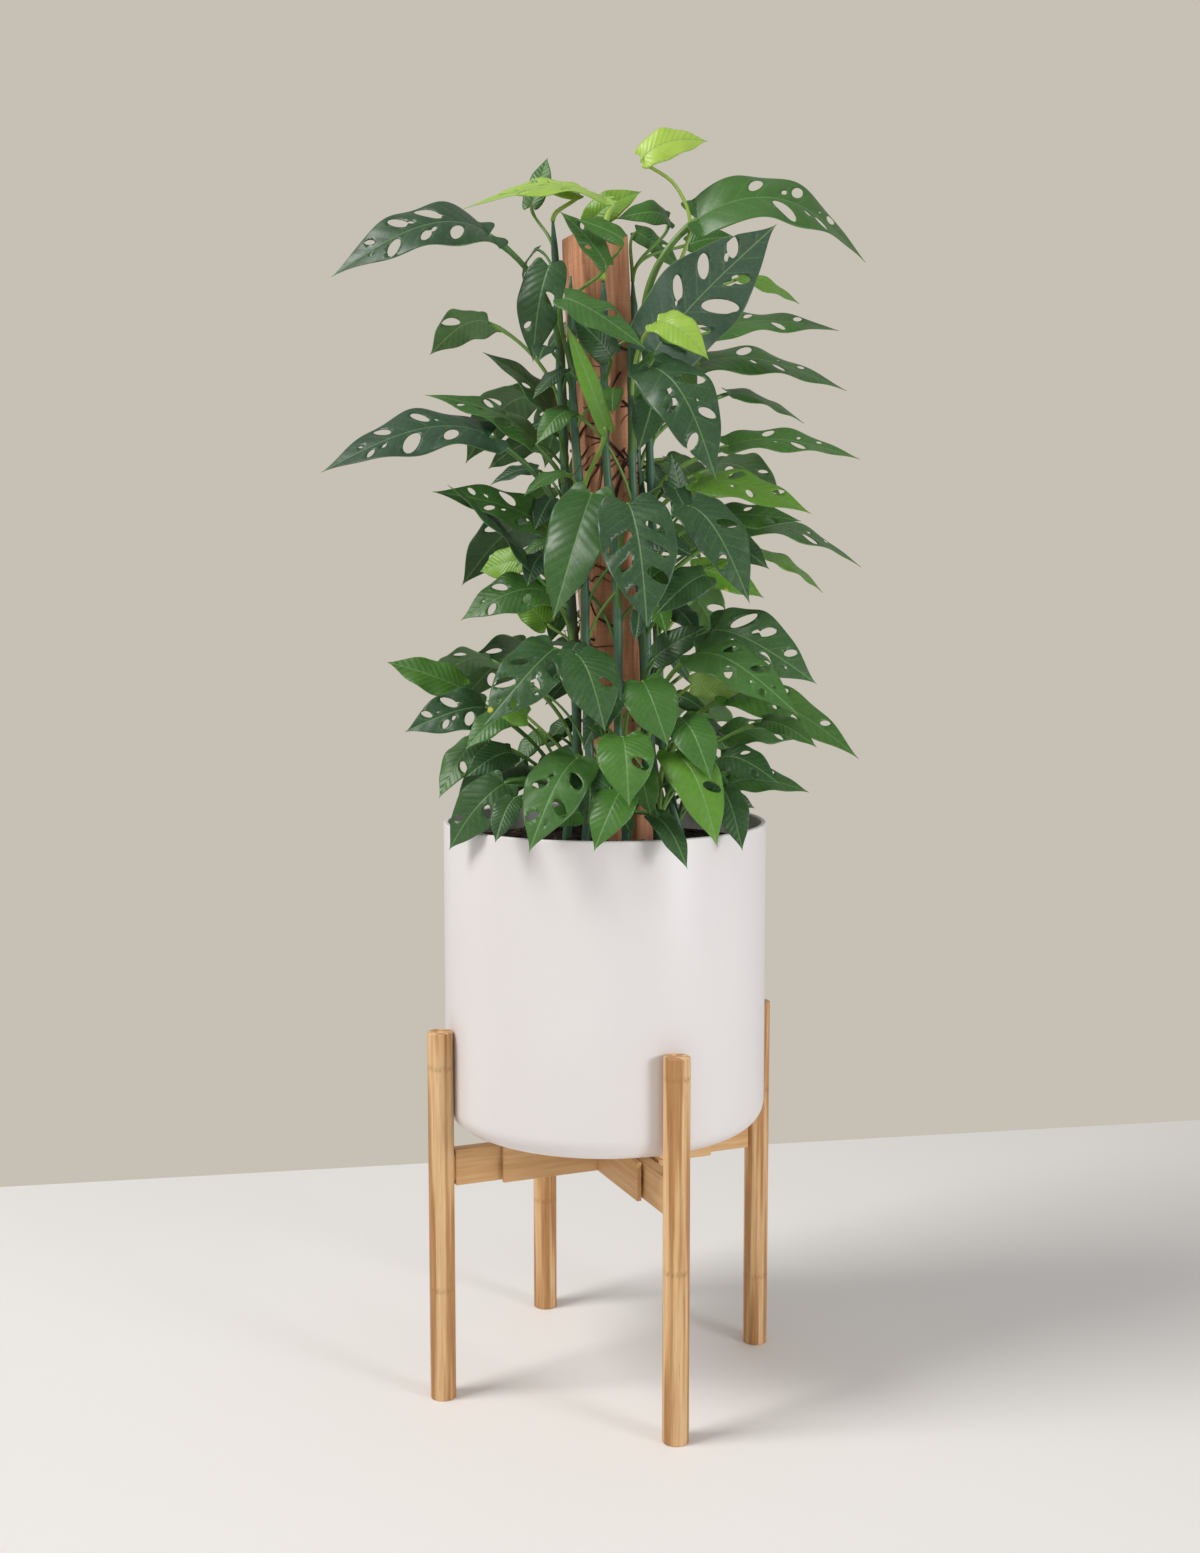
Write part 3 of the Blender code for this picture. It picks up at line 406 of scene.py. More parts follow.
def bamboo_finish(name, ring_at):
    """Bamboo with upright fibres, and a node's ring at each of the given heights."""
    finish = Finish(name, specular_ior_level=0.35)
    fibres = finish.noise(finish.place(BAMBOO_STRETCH), 1.0, 6.0, 0.62)
    wide = tuple(0.3 * s for s in BAMBOO_STRETCH)
    strips = finish.noise(finish.place(wide), 1.0, 1.0).band(0.4, 0.6)
    narrow = tuple(2.4 * s for s in BAMBOO_STRETCH)
    specks = finish.noise(finish.place(narrow), 1.0, 2.0).band(0.66, 0.74)
    wood = finish.ramp(fibres * 0.6 + strips * 0.3, (0.22, 164, 116, 70), (0.38, 190, 143, 93),
                       (0.52, 212, 170, 120), (0.70, 230, 196, 150))
    wood = finish.mix(specks * 0.45, wood, linear(150, 103, 58))
    relief = fibres * 0.5
    height = finish.node("ShaderNodeSeparateXYZ", {}, (finish.spot(),), output="Z")
    wobble = finish.noise(finish.place((60, 60, 12)), 1.0, 1.0) * (3 * MM)
    ticks = finish.noise(finish.place((800, 800, 170)), 1.0, 2.0).band(0.5, 0.64)
    for level in ring_at:
        off = (height + wobble - level - 1.5 * MM).math("ABSOLUTE")
        ring = 1.0 - off.band(0.3 * MM, RING_HEIGHT)
        wood = finish.mix(ring * (ticks * 0.5 + 0.1), wood, linear(150, 104, 62))
        relief = relief - ring * ticks * 0.6
    return finish.drive(base_color=wood, roughness=0.42 + fibres * 0.16,
                        normal=finish.bump(relief, 0.25 * MM, 0.6))


print("bamboo finish ready")

# %% [markdown]
# A leg is a dowel: a cone with equal ends, with a small bevel round both. The plain solid has
# a socket where its arm goes in; the dowel has none. The legs stand evenly round the pot, and
# the box of each plain leg says where.

# %% The legs
LEG_SIDES = 64
LEG_BEVEL = 1.1 * MM
LEG_RINGS = {"right": (0.262, 0.071), "back": (0.118,), "left": (0.107, 0.318),
             "front": (0.158, 0.333)}


def bevel(bm, edges, width, segments, clamp_overlap=False):
    """Round edges of a bmesh, with the settings that the editor starts with."""
    bmesh.ops.bevel(bm, geom=edges, offset=width, segments=segments, profile=0.5,
                    affect="EDGES", material=-1, clamp_overlap=clamp_overlap)


def add_leg(name):
    low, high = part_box(f"leg_{name}")
    middle = (low + high) / 2
    radius = (high.x - low.x) / 2
    bm = bmesh.new()
    bmesh.ops.create_cone(bm, cap_ends=True, segments=LEG_SIDES, radius1=radius,
                          radius2=radius, depth=high.z - low.z)
    ends = [e for e in bm.edges if abs(e.verts[0].co.z - e.verts[1].co.z) < MM]
    bevel(bm, ends, LEG_BEVEL, 3)
    bmesh.ops.translate(bm, verts=bm.verts, vec=middle)
    for face in bm.faces:
        face.smooth = abs(face.normal.z) < 0.999
    surface = bamboo_finish(f"bamboo_leg_{name}", LEG_RINGS[name])
    return adopt(link_mesh(f"bamboo_leg_{name}", bm, [surface]), "bamboo", f"leg_{name}")


legs = [add_leg(name) for name in LEG_RINGS]
print("legs:", len(legs))

# %% [markdown]
# The slats and arms have holes, slots and notches that the plain solids already hold. A copy
# of each solid's mesh is merged, its flat faces are joined, and its edges get the small
# rounding of sanded wood. The same helper serves the bolts and nuts.

# %% Rounded copies of the plain solids
FLAT_ANGLE = math.radians(1)
SHARP_ANGLE = math.radians(50)


def rounded_copy(name, node, width, materials, slot, shade_angle=40):
    """A copy of a plain solid with its sharp edges bevelled, in its place."""
    bm = bmesh.new()
    bm.from_mesh(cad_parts[node].data)
    bmesh.ops.remove_doubles(bm, verts=bm.verts, dist=0.01 * MM)
    bmesh.ops.dissolve_limit(bm, angle_limit=FLAT_ANGLE, verts=bm.verts, edges=bm.edges)
    sharp = [e for e in bm.edges
             if len(e.link_faces) == 2 and e.calc_face_angle() > SHARP_ANGLE]
    bevel(bm, sharp, width, 2, clamp_overlap=True)
    made = link_mesh(name, bm, materials)
    made.data.shade_smooth()
    made.data.set_sharp_from_angle(angle=math.radians(shade_angle))
    return adopt(made, slot, node)


right_low, right_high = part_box("leg_right")
right_foot = (right_low + right_high) / 2
STAND_ANGLE = math.atan2(right_foot.y, right_foot.x)
print("the crossbars are turned by", round(math.degrees(STAND_ANGLE), 2), "degrees")

# %% Slats and arms
BAR_BEVEL = 0.7 * MM


def flat_bamboo(name, turn):
    """Bamboo for a bar that lies at an angle about Z, with its fibres along the bar."""
    finish = Finish(name, specular_ior_level=0.35)
    along_bar = finish.node("ShaderNodeMapping", {}, {"Vector": finish.spot(),
                                                     "Rotation": (0, 0, -turn)})

    def streaks(scale, *more):
        spot = finish.node("ShaderNodeMapping", {}, {"Vector": along_bar, "Scale": scale})
        return finish.noise(spot, 1.0, *more)

    fibres = streaks((13, 300, 300), 6.0, 0.62)
    wide = streaks((3, 60, 60), 2.0)
    wood = finish.ramp(fibres * 0.5 + wide * 0.5, (0.28, 188, 140, 88), (0.45, 206, 162, 110),
                       (0.58, 220, 180, 131), (0.75, 230, 196, 152))
    return finish.drive(base_color=wood, roughness=0.45 + fibres * 0.15,
                        normal=finish.bump(fibres, 0.2 * MM, 0.5))


along_a = flat_bamboo("bamboo_bar_a", STAND_ANGLE)
along_b = flat_bamboo("bamboo_bar_b", STAND_ANGLE + math.pi / 2)
BARS = {"slat_a1": along_a, "slat_a2": along_a, "slat_b1": along_b, "slat_b2": along_b,
        "arm_right": along_a, "arm_left": along_a, "arm_back": along_b, "arm_front": along_b}
for name, surface in BARS.items():
    rounded_copy(f"bamboo_{name}", name.replace("arm", "tongue"), BAR_BEVEL, [surface],
                 "bamboo")

# %% Bolts and nuts
BOLT_BEVEL = 0.5 * MM
NUT_BEVEL = 0.3 * MM
steel = Finish("black_steel", metallic=0.85, specular_ior_level=0.5)
steel_wear = steel.noise(steel.place(), 420.0, 3.0)
black_steel = steel.drive(
    base_color=steel.mix(steel_wear, linear(34, 32, 30), linear(62, 58, 54)),
    roughness=0.32 + steel_wear * 0.25, normal=steel.bump(steel_wear, 0.05 * MM, 0.4))
for side in LEG_RINGS:
    rounded_copy(f"steel_bolt_{side}", f"bolt_{side}", BOLT_BEVEL, [black_steel], "hardware",
                 60)
    rounded_copy(f"steel_nut_{side}", f"nut_{side}", NUT_BEVEL, [black_steel], "hardware")

# %% [markdown]
# ## The climbing post
#
# The post is a square piece of rough-sawn softwood, leaning a little and turned so that two
# faces show. Saw marks run straight across it, the fibres stand up between them, and the
# corners are a little broken. The shape is a box that is cut into many small faces, and noise
# wears its surface; the finest marks are relief in the finish.

# %% Where the post is
POST_SIDE = 48.0 * MM
POST_LEAN = 0.045
POST_TURN = math.radians(22.4)
post_low, post_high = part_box("post")
POST_TOP = Vector((-9.7 * MM, 10.0 * MM, post_high.z))


def post_middle(z):
    """The middle of the leaning post at a height."""
    return Vector((POST_TOP.x + (POST_TOP.z - z) * POST_LEAN, POST_TOP.y, z))


print("the post's top is at", tuple(POST_TOP), "and its foot at", tuple(post_middle(post_low.z)))

# %% The post itself
POST_CUTS = 150
POST_STRIPS = 12
POST_BEVEL = 1.2 * MM
POST_WEAR = 0.7 * MM
ROUGH_SCALE = (90, 90, 30)
CHIP_SCALE = 120
CHIPS_FROM = 0.25
post_bm = bmesh.new()
bmesh.ops.create_cube(post_bm, size=1.0)
post_length = post_high.z - post_low.z
bmesh.ops.scale(post_bm, vec=(POST_SIDE, POST_SIDE, post_length), verts=post_bm.verts)
bevel(post_bm, post_bm.edges[:], POST_BEVEL, 2)
for across in (Vector((1, 0, 0)), Vector((0, 1, 0))):
    for i in range(1 - POST_STRIPS // 2, POST_STRIPS // 2):
        cut(post_bm, across * (i * POST_SIDE / POST_STRIPS), across)
for i in range(1, POST_CUTS):
    cut(post_bm, Z * (i / POST_CUTS - 0.5) * post_length, Z)
for vert in post_bm.verts:
    out = Vector((vert.co.x, vert.co.y, 0))
    corner = min(abs(out.x), abs(out.y)) / (POST_SIDE / 2)
    rough = noise.noise(Vector([c * scale for c, scale in zip(vert.co, ROUGH_SCALE)]))
    chips = max(0.0, noise.noise(vert.co * CHIP_SCALE) - CHIPS_FROM) * corner ** 6 * 4
    vert.co -= out * (POST_WEAR / (POST_SIDE / 2)) * (0.5 + 0.5 * rough + chips)
lean = Matrix.Identity(4)
lean[0][2] = -POST_LEAN
bmesh.ops.transform(post_bm, verts=post_bm.verts, matrix=Matrix.Translation(
    post_middle((post_low.z + post_high.z) / 2)) @ lean @ Matrix.Rotation(POST_TURN, 4, "Z"))
shade_smooth(post_bm)
print("vertices in the post:", len(post_bm.verts))

# %% The post's finish
sawn = Finish("sawn_softwood", specular_ior_level=0.2)
sawn_long = sawn.noise(sawn.place((150, 150, 7)), 1.0, 6.0, 0.65)
sawn_cross = sawn.noise(sawn.place((10, 10, 620)), 1.0, 3.0, 0.6)
# Painted shade: dark patches at random over the post stand for the shade that the roots cast on
# it.
sawn_painted_shade = sawn.noise(sawn.place((22, 22, 9)), 1.0, 4.0, 0.6)
sawn_color = sawn.ramp(sawn_long * 0.85 + sawn_cross * 0.15, (0.30, 146, 98, 70),
                       (0.46, 196, 137, 103), (0.60, 220, 161, 126), (0.78, 236, 187, 154))
sawn_color = sawn.mix(sawn_painted_shade.band(0.54, 0.74) * 0.55, sawn_color, linear(92, 56, 40))
sawn_wood = sawn.drive(base_color=sawn_color, roughness=0.82 + sawn_long * 0.15,
                       normal=sawn.bump(sawn_cross * 0.35 + sawn_long * 0.65, 0.8 * MM, 0.8))
adopt(link_mesh("sawn_post", post_bm, [sawn_wood]), "timber", "post")

# %% [markdown]
# ## The soil
#
# Potting soil for aroids is dark, with bits of bark on top. The soil is a turned solid like
# the pot, with many rings on its top that noise lifts into crumbs. Bits of bark are small
# balls of twenty sides, squashed and turned at random, sunk half into it.

# %% The soil
soil_low, soil_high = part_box("soil")
SOIL_RADIUS = soil_high.x
SOIL_MOUND = 6.0 * MM
SOIL_EDGE_Z = soil_high.z - SOIL_MOUND
SOIL_RINGS = 60
SOIL_STEPS = 180
CRUMB_SCALE = 110
CRUMB_HEIGHT = 2.6 * MM


def soil_height(x, y):
    """The crumbly top of the soil over a place in the pot."""
    share = min(1.0, math.hypot(x, y) / SOIL_RADIUS)
    mound = SOIL_MOUND * (1.0 - share * share)
    spot = Vector((x * CRUMB_SCALE, y * CRUMB_SCALE, 0))
    crumbs = noise.fractal(spot, 0.9, 2.0, 4) * CRUMB_HEIGHT
    return SOIL_EDGE_Z + mound * 0.9 + crumbs * (1.0 - share ** 12)


soil_profile = [(SOIL_RADIUS * i / SOIL_RINGS, SOIL_EDGE_Z) for i in range(SOIL_RINGS + 1)]
soil_profile += arc((SOIL_RADIUS - POT_HOLLOW_EDGE, soil_low.z + POT_HOLLOW_EDGE),
                    POT_HOLLOW_EDGE, 0, -90, 4)
soil_profile += [(0.0, soil_low.z)]
crumb = Finish("potting_soil", specular_ior_level=0.25)
crumb_grain = crumb.noise(crumb.place(), 420.0, 5.0, 0.7)
soil_dark = crumb.drive(
    base_color=crumb.ramp(crumb_grain, (0.3, 12, 9, 8), (0.5, 28, 21, 17),
                          (0.68, 56, 42, 33)),
    roughness=0.8 + crumb_grain * 0.18, normal=crumb.bump(crumb_grain, 1.5 * MM, 1.0))
soil = turned("potting_soil", soil_profile, SOIL_STEPS, [soil_dark])
for vert in soil.data.vertices:
    if abs(vert.co.z - SOIL_EDGE_Z) < 0.1 * MM:
        vert.co.z = soil_height(vert.co.x, vert.co.y)
adopt(soil, "soil", "soil")

# %% Bits of bark
BARK_BITS = 420
BARK_ROUGH = 0.16
bark = Finish("bark_bits", specular_ior_level=0.3)
bark_grain = bark.noise(bark.place((90, 90, 260)), 1.0, 4.0)
bark_brown = bark.drive(
    base_color=bark.ramp(bark_grain, (0.3, 26, 17, 13), (0.55, 60, 41, 30),
                         (0.72, 100, 74, 55)),
    roughness=0.75 + bark_grain * 0.2, normal=bark.bump(bark_grain, 0.6 * MM, 0.8))
bark_draw = random.Random(7)
bits_bm = bmesh.new()
for i in range(BARK_BITS):
    reach = (SOIL_RADIUS - 8 * MM) * math.sqrt(bark_draw.random())
    turn = bark_draw.uniform(0, math.tau)
    x, y = reach * math.cos(turn), reach * math.sin(turn)
    size = bark_draw.uniform(2.0, 6.0) * MM
    shape = Matrix.Diagonal((1.0, bark_draw.uniform(0.4, 0.8), bark_draw.uniform(0.25, 0.5), 1))
    tilt = Matrix.Rotation(bark_draw.uniform(-0.5, 0.5), 4, "X")
    spin = Matrix.Rotation(bark_draw.uniform(0, math.tau), 4, "Z")
    place = Matrix.Translation((x, y, soil_height(x, y))) @ spin @ tilt @ shape
    bit = bmesh.ops.create_icosphere(bits_bm, subdivisions=1, radius=size, matrix=place)
    for vert in bit["verts"]:
        vert.co += Vector([bark_draw.uniform(-BARK_ROUGH, BARK_ROUGH) * size for _ in range(3)])
adopt(link_mesh("bark_bits", bits_bm, [bark_brown]), "soil")

# %% [markdown]
# ## The plant's plan
#
# Nine stems climb round the post. Each carries its leaves on long stalks. The plan below is
# the plan that the plain solids were built from: for each stem, where it stands round the
# post (degrees from +X, centimetres from the post's middle), its top in centimetres, and its
# leaves. A leaf is the place of its base and its tip, its width (cm), how far its face is
# turned from the sky towards the front (degrees), how high it arches as a share of its
# length, the number of its large holes, and its tone, from 0, the dark green of an old leaf,
# to 3, the lime of a new one. `STALK_WAYS` leads a few stalks round what is in their way.

# %% The stems and leaves in front
PLAN = {
    "vine_left": (190, 3.8, 104, [
        ((-10.5, -3, 107.5), (-24, -8, 103), 6.4, 50, 0.19, 6, 0.1),
        ((-5, -4.5, 104.5), (-6.5, -5, 96), 4.1, 40, 0.07, 2, 0.3),
        ((-4.5, -3, 90.5), (-11, -4.5, 97), 4.7, 25, 0.11, 1, 0.4),
        ((-6.5, -2, 89), (-16.5, -2, 93.5), 4.6, 30, 0.11, 3, 0.9),
        ((-10.5, -4, 89.5), (-25, -9, 86), 6.6, 35, 0.14, 5, 0),
        ((-5, -3, 81), (-15.5, -6, 84.5), 5.1, 40, 0.11, 4, 0.8),
        ((-7, -5, 78), (-14, -7.5, 85), 4, 20, 0.07, 0, 0.3),
        ((-5.5, -4, 75.5), (-13, -7, 73), 4.7, 45, 0.19, 3, 0.9),
        ((-11, -5, 65), (-18, -8, 63), 4.4, 60, 0.14, 4, 0.2),
        ((-11.5, -5, 62), (-15, -8, 57), 3.4, 30, 0.11, 1, 1),
        ((-8.5, -6.5, 61), (-12.5, -9, 59), 3, 60, 0.11, 0, 0.3),
        ((-8.5, -6.5, 64.5), (-12.5, -9, 61.5), 3, 45, 0.11, 0, 1),
        ((-9, -9.5, 58.5), (-14, -9.5, 52.5), 4.2, 60, 0.19, 2, 0.5),
    ]),
    "vine_left_back": (150, 4.3, 110.5, [
        ((-2.5, 3, 112.5), (-11, 5, 112.5), 3.4, 35, 0.11, 3, 2.8),
        ((-7, 6, 112), (-5.5, 8, 117), 2.4, 20, 0.04, 0, 1),
        ((-8, 3, 78.5), (-12, 4.5, 77.5), 3.2, 70, 0.07, 0, 2.2),
        ((-5.5, 3.5, 72.5), (-9, 4.5, 75.5), 3, 70, 0.07, 0, 1.9),
        ((-13.5, 0, 66.5), (-20.5, 0, 69), 3.8, 50, 0.08, 0, 1.2),
        ((-11, 5, 101), (-17, 8.5, 98.5), 4.6, -30, 0.16, 1, 0.9),
        ((-11, 4.5, 69), (-17.5, 8, 66), 4.6, -35, 0.16, 2, 0.7),
    ]),
    "vine_front_left": (235, 4.3, 104, [
        ((0, -5.5, 104.5), (-4, -6, 109), 2.6, 45, 0.04, 2, 1),
        ((-3.5, -8.7, 101), (3.5, -10.2, 96.5), 3.7, 40, 0.08, 1, 0.9),
        ((0, -8.5, 90), (-3.5, -9, 99), 1.8, 60, 0.03, 0, 1.8),
        ((-1.2, -10, 84), (-4.5, -15, 73), 5.5, 35, 0.11, 0, 0.55),
        ((-4.5, -10, 70.5), (-10.5, -15, 64), 5.4, 60, 0.16, 5, 0.3),
        ((-2.5, -11, 70), (0, -15, 63.5), 5.1, 55, 0.14, 1, 0.4),
        ((-7, -9, 64.5), (-10.5, -10.5, 66), 2.8, 60, 0.05, 0, 1.9),
        ((-2.5, -13, 61), (-6.5, -18, 53.5), 5.4, 50, 0.14, 4, 0.9),
        ((-8, -13, 57.5), (-9.5, -15.5, 54), 2.4, 45, 0.08, 0, 0.4),
    ]),
    "vine_front": (275, 4.2, 104, [
        ((1.5, -6.5, 106.5), (-2.5, -7.5, 108), 2, 70, 0.04, 0, 1.1),
        ((0.5, -6, 96.5), (-3, -6.5, 100), 3, 70, 0.07, 0, 0.3),
        ((2, -12.5, 83), (3.5, -17.5, 72.5), 6.6, 45, 0.08, 6, 0.15),
        ((-1.5, -13, 60), (-1.5, -15.5, 55.5), 3.6, 60, 0.16, 0, 0.4),
        ((1.5, -14, 58.5), (-1, -17.5, 53.5), 3.8, 40, 0.19, 0, 1.1),
        ((1.5, -14.5, 63), (2, -18.5, 57.5), 5, 50, 0.14, 1, 1.15),
        ((3.3, -12, 67.7), (5.4, -15.5, 62.3), 4.7, 45, 0.14, 0, 1),
        ((3.2, -11.5, 60), (4, -13.5, 56), 2.8, 50, 0.11, 0, 1),
        ((1, -7.5, 66), (-2, -9.5, 61.5), 2.8, 50, 0.11, 0, 0.3),
        ((0, 1, 111.5), (-13, 0, 110.5), 4.6, 22, 0.11, 4, 2.7),
    ]),
    "vine_front_right": (312, 4, 100, [
        ((4.5, -5, 97), (15, -8, 107.5), 8, -55, 0.08, 6, 0),
        ((4.5, -8, 99), (9, -10.5, 95.5), 3.2, 65, 0.19, 0, 2.6),
        ((4, -9, 95), (9.5, -13.5, 85), 5.8, 50, 0.16, 4, 0.2),
        ((4.5, -5, 93.5), (3, -6.5, 88), 3.2, 50, 0.11, 0, 0.3),
        ((7.5, -8.5, 83), (12.5, -13, 74.5), 4.9, 45, 0.16, 2, 0.2),
        ((10.5, -5.5, 80.5), (14.5, -9.5, 77.5), 2.9, 60, 0.11, 0, 0.3),
        ((9, -6.5, 77), (4.5, -9.5, 73.5), 3.4, 60, 0.08, 0, 0.4),
        ((9.5, -7.6, 72), (18.5, -12, 67.5), 6, 60, 0.22, 5, 0.5),
        ((8, -10, 70), (16.5, -16.5, 65), 4.8, 45, 0.16, 4, 0.9),
        ((6.6, -12.3, 64.5), (9, -17, 59.5), 3.9, 55, 0.14, 0, 1),
        ((6, -13.5, 61.5), (9.5, -18.5, 54), 4.4, 40, 0.14, 1, 1.6),
        ((4.5, -14.5, 56), (7, -17.5, 52), 2.2, 40, 0.11, 0, 0.4),
        ((14, -9, 64), (18.5, -12.5, 62), 2.7, 40, 0.11, 0, 1),
        ((4.5, -5.5, 69.5), (9.5, -6.5, 72.5), 3, 55, 0.11, 0, 0.3),
    ]),
}
print("stems planned in front:", len(PLAN), "with", sum(len(p[3]) for p in PLAN.values()),
      "leaves")

# %% The stems and leaves on the right
PLAN |= {
    "vine_right": (350, 4.3, 101, [
        ((8.5, 0, 109.5), (25, 7, 107), 6.6, 50, 0.22, 5, 1),
        ((3.5, 0, 115), (9.5, 2, 117), 3.2, 65, 0.16, 0, 3),
        ((10, 1, 99.5), (22, 3, 100), 4.7, 35, 0.08, 3, 1),
        ((11.5, 0, 89), (24, 2, 88), 4.5, 30, 0.09, 3, 1.1),
        ((8.5, -3, 85.5), (18.5, -6.5, 82.5), 4.5, 35, 0.11, 3, 1.9),
        ((10.5, -2, 82.5), (18, -3, 82), 3.6, 45, 0.08, 2, 1),
        ((8, -2.5, 77.5), (14.5, -4.5, 75), 3.6, 50, 0.16, 1, 1.8),
        ((7, -3, 83), (6, -4, 88), 2.2, 40, 0.07, 0, 0.3),
        ((8, -4, 67), (12.5, -6, 66.5), 3, -60, 0.07, 0, 2.2),
        ((11.5, -4, 66), (23, -7, 60.5), 4.6, 35, 0.11, 3, 1.2),
        ((10.5, -6.5, 60.5), (15.5, -9.5, 58.5), 3.4, 55, 0.16, 2, 0.4),
        ((10.5, -10, 58), (12, -13.5, 53), 3, 45, 0.11, 0, 0.4),
    ]),
    "vine_right_back": (35, 4, 105, [
        ((9, 4, 97), (23.5, 8, 95), 5.4, 30, 0.09, 3, 0.9),
        ((6, 4.5, 110.5), (1, 2, 110), 2.8, 60, 0.19, 0, 1),
        ((-1.5, 6.5, 110.5), (3.5, 6.5, 113.5), 3, 70, 0.16, 0, 2.2),
        ((8, 6, 108.5), (12.5, 7.5, 109.5), 2.4, 70, 0.11, 0, 1.1),
        ((3, 5.5, 109.5), (7.5, 7, 106), 2.8, 50, 0.11, 1, 1),
        ((13, 7, 105.5), (19, 9.5, 103.5), 2.6, 40, 0.08, 0, 2),
        ((12, 5.5, 94.5), (19.5, 9, 92), 3, 30, 0.08, 0, 1),
        ((13, 3, 81.5), (25, 7, 78), 4.6, 30, 0.11, 3, 0.9),
        ((15.5, 5.5, 79), (21.5, 8.5, 75.5), 2.8, 30, 0.07, 0, 1.8),
        ((11.5, 0.5, 62), (19, 2.5, 61.5), 4, 35, 0.11, 2, 1),
        ((11.5, -2, 57.5), (19, -3, 57), 3.6, 35, 0.14, 1, 0.8),
        ((10.5, 5.5, 87.5), (17.5, 10, 85), 4.8, -35, 0.16, 2, 0.7),
        ((10.5, 6, 69), (17.5, 10.5, 66), 4.8, -35, 0.16, 2, 0.9),
    ]),
}
STALK_WAYS = {
    ("vine_right", 1): [(5.5, 0.5, 103), (7.8, 0, 108.5), (6.5, 0, 112.5)],
    ("vine_front", 9): [(-0.3, -3.4, 106.5), (0.2, -2.9, 109.2), (0.8, -0.5, 110.6)],
    ("vine_right_back", 2): [(0.5, 6, 108.5), (-2, 6.5, 109.3)],
}
print("stems planned:", len(PLAN))

# %% [markdown]
# The back of the plant isn't in the photograph. Two stems climb there, and their leaves
# follow a rule: from the lowest up they stand to the right and to the left in turn.

# %% The stems at the back
BACK_BLADES = 8
BACK_LOWEST = 58.5 * CM
BACK_HIGHEST = 1.0
BACK_SPREAD = 32
BACK_REACH = 10.0 * CM
BACK_LENGTH = 12.5 * CM
BACK_OUTWARD = 0.72
BACK_FALL = 6.0 * CM
BACK_TONES = (0.3, 1.0, 0.6, 1.2)


def way_out(turn):
    """The level direction at an angle, in radians from +X."""
    return Vector((math.cos(turn), math.sin(turn), 0))


def back_leaves(angle):
    """Leaves for a stem at the back, as rows like those of the plan."""
    rows = []
    for number in range(BACK_BLADES):
        turn = math.radians(angle + BACK_SPREAD * (-1) ** number)
        outward = way_out(turn)
        share = number / (BACK_BLADES - 1)
        height = BACK_LOWEST + (BACK_HIGHEST - BACK_LOWEST) * share
        length = BACK_LENGTH * (1.0 - 0.25 * share)
        base = post_middle(height) + outward * BACK_REACH * (1.0 - 0.2 * share)
        tip = base + outward * length * BACK_OUTWARD - Z * BACK_FALL
        rows.append((base / CM, tip / CM, length * 0.5 / CM, 40, 0.16, 2,
                     BACK_TONES[number % 4]))
    return rows


PLAN["vine_back"] = (80, 4.3, 103, back_leaves(80))
PLAN["vine_back_left"] = (118, 4.1, 95, back_leaves(118))
print("leaves planned in all:", sum(len(p[3]) for p in PLAN.values()))

# %% [markdown]
# Small dark leaves fill the plant's inside, close to the stems, and a few reach out low over
# the soil. They are too many to plan one by one, so a rule with a fixed seed places them.

# %% The small inner leaves
INNER_LEAVES = 9
INNER_LOWEST = 0.55
INNER_CLEAR_TOP = 0.56          # what is left above this height is shared out
LOW_HEIGHT = 0.60
LOW_REACH = 2.5 * CM
INNER_TONES = (0.0, 0.2, 0.4, 0.9, 1.2)
inner_draw = random.Random(23)


def inner_leaves(angle, reach, top):
    """Small leaves close to a stem, as rows like those of the plan."""
    rows = []
    for number in range(INNER_LEAVES):
        turn = math.radians(angle + inner_draw.uniform(-70, 70))
        outward = way_out(turn)
        share = (number + inner_draw.uniform(0.1, 0.9)) / INNER_LEAVES
        height = INNER_LOWEST + (top * CM - INNER_CLEAR_TOP) * share ** 1.25
        low = height < LOW_HEIGHT
        base = post_middle(height) + outward * (reach * CM + inner_draw.uniform(1.2, 3.6) * CM)
        if low:
            base += outward * LOW_REACH
        length = inner_draw.uniform(3.4, 5.6) * CM
        side = Vector((-outward.y, outward.x, 0)) * inner_draw.uniform(-0.7, 0.7)
        fall = inner_draw.uniform(0.1, 0.5) if low else inner_draw.uniform(0.2, 1.3)
        tip = base + (outward + side - Z * fall).normalized() * length
        rows.append((base / CM, tip / CM, length * inner_draw.uniform(0.44, 0.54) / CM,
                     inner_draw.uniform(25, 60), inner_draw.uniform(0.06, 0.14), 0,
                     inner_draw.choice(INNER_TONES)))
    return rows


for name, (angle, reach, top, rows) in PLAN.items():
    rows += inner_leaves(angle, reach, top)
print("leaves with the small inner ones:", sum(len(p[3]) for p in PLAN.values()))

# %% [markdown]
# ## A leaf
#
# The leaf of this vine is a long heart with slanted oval holes between its side veins. It is
# laid out flat first: a is the way along the midrib and b the way across it. A grid of
# faces is stretched to the heart's outline, the faces inside each oval are deleted, and the
# rim that is left is moved onto the oval. Then each vertex is lifted into space: the two
# halves rise from the midrib, the margins bend down and wave, and the whole blade arches.
# Last the sheet is extruded downwards, which gives it an underside and an edge.

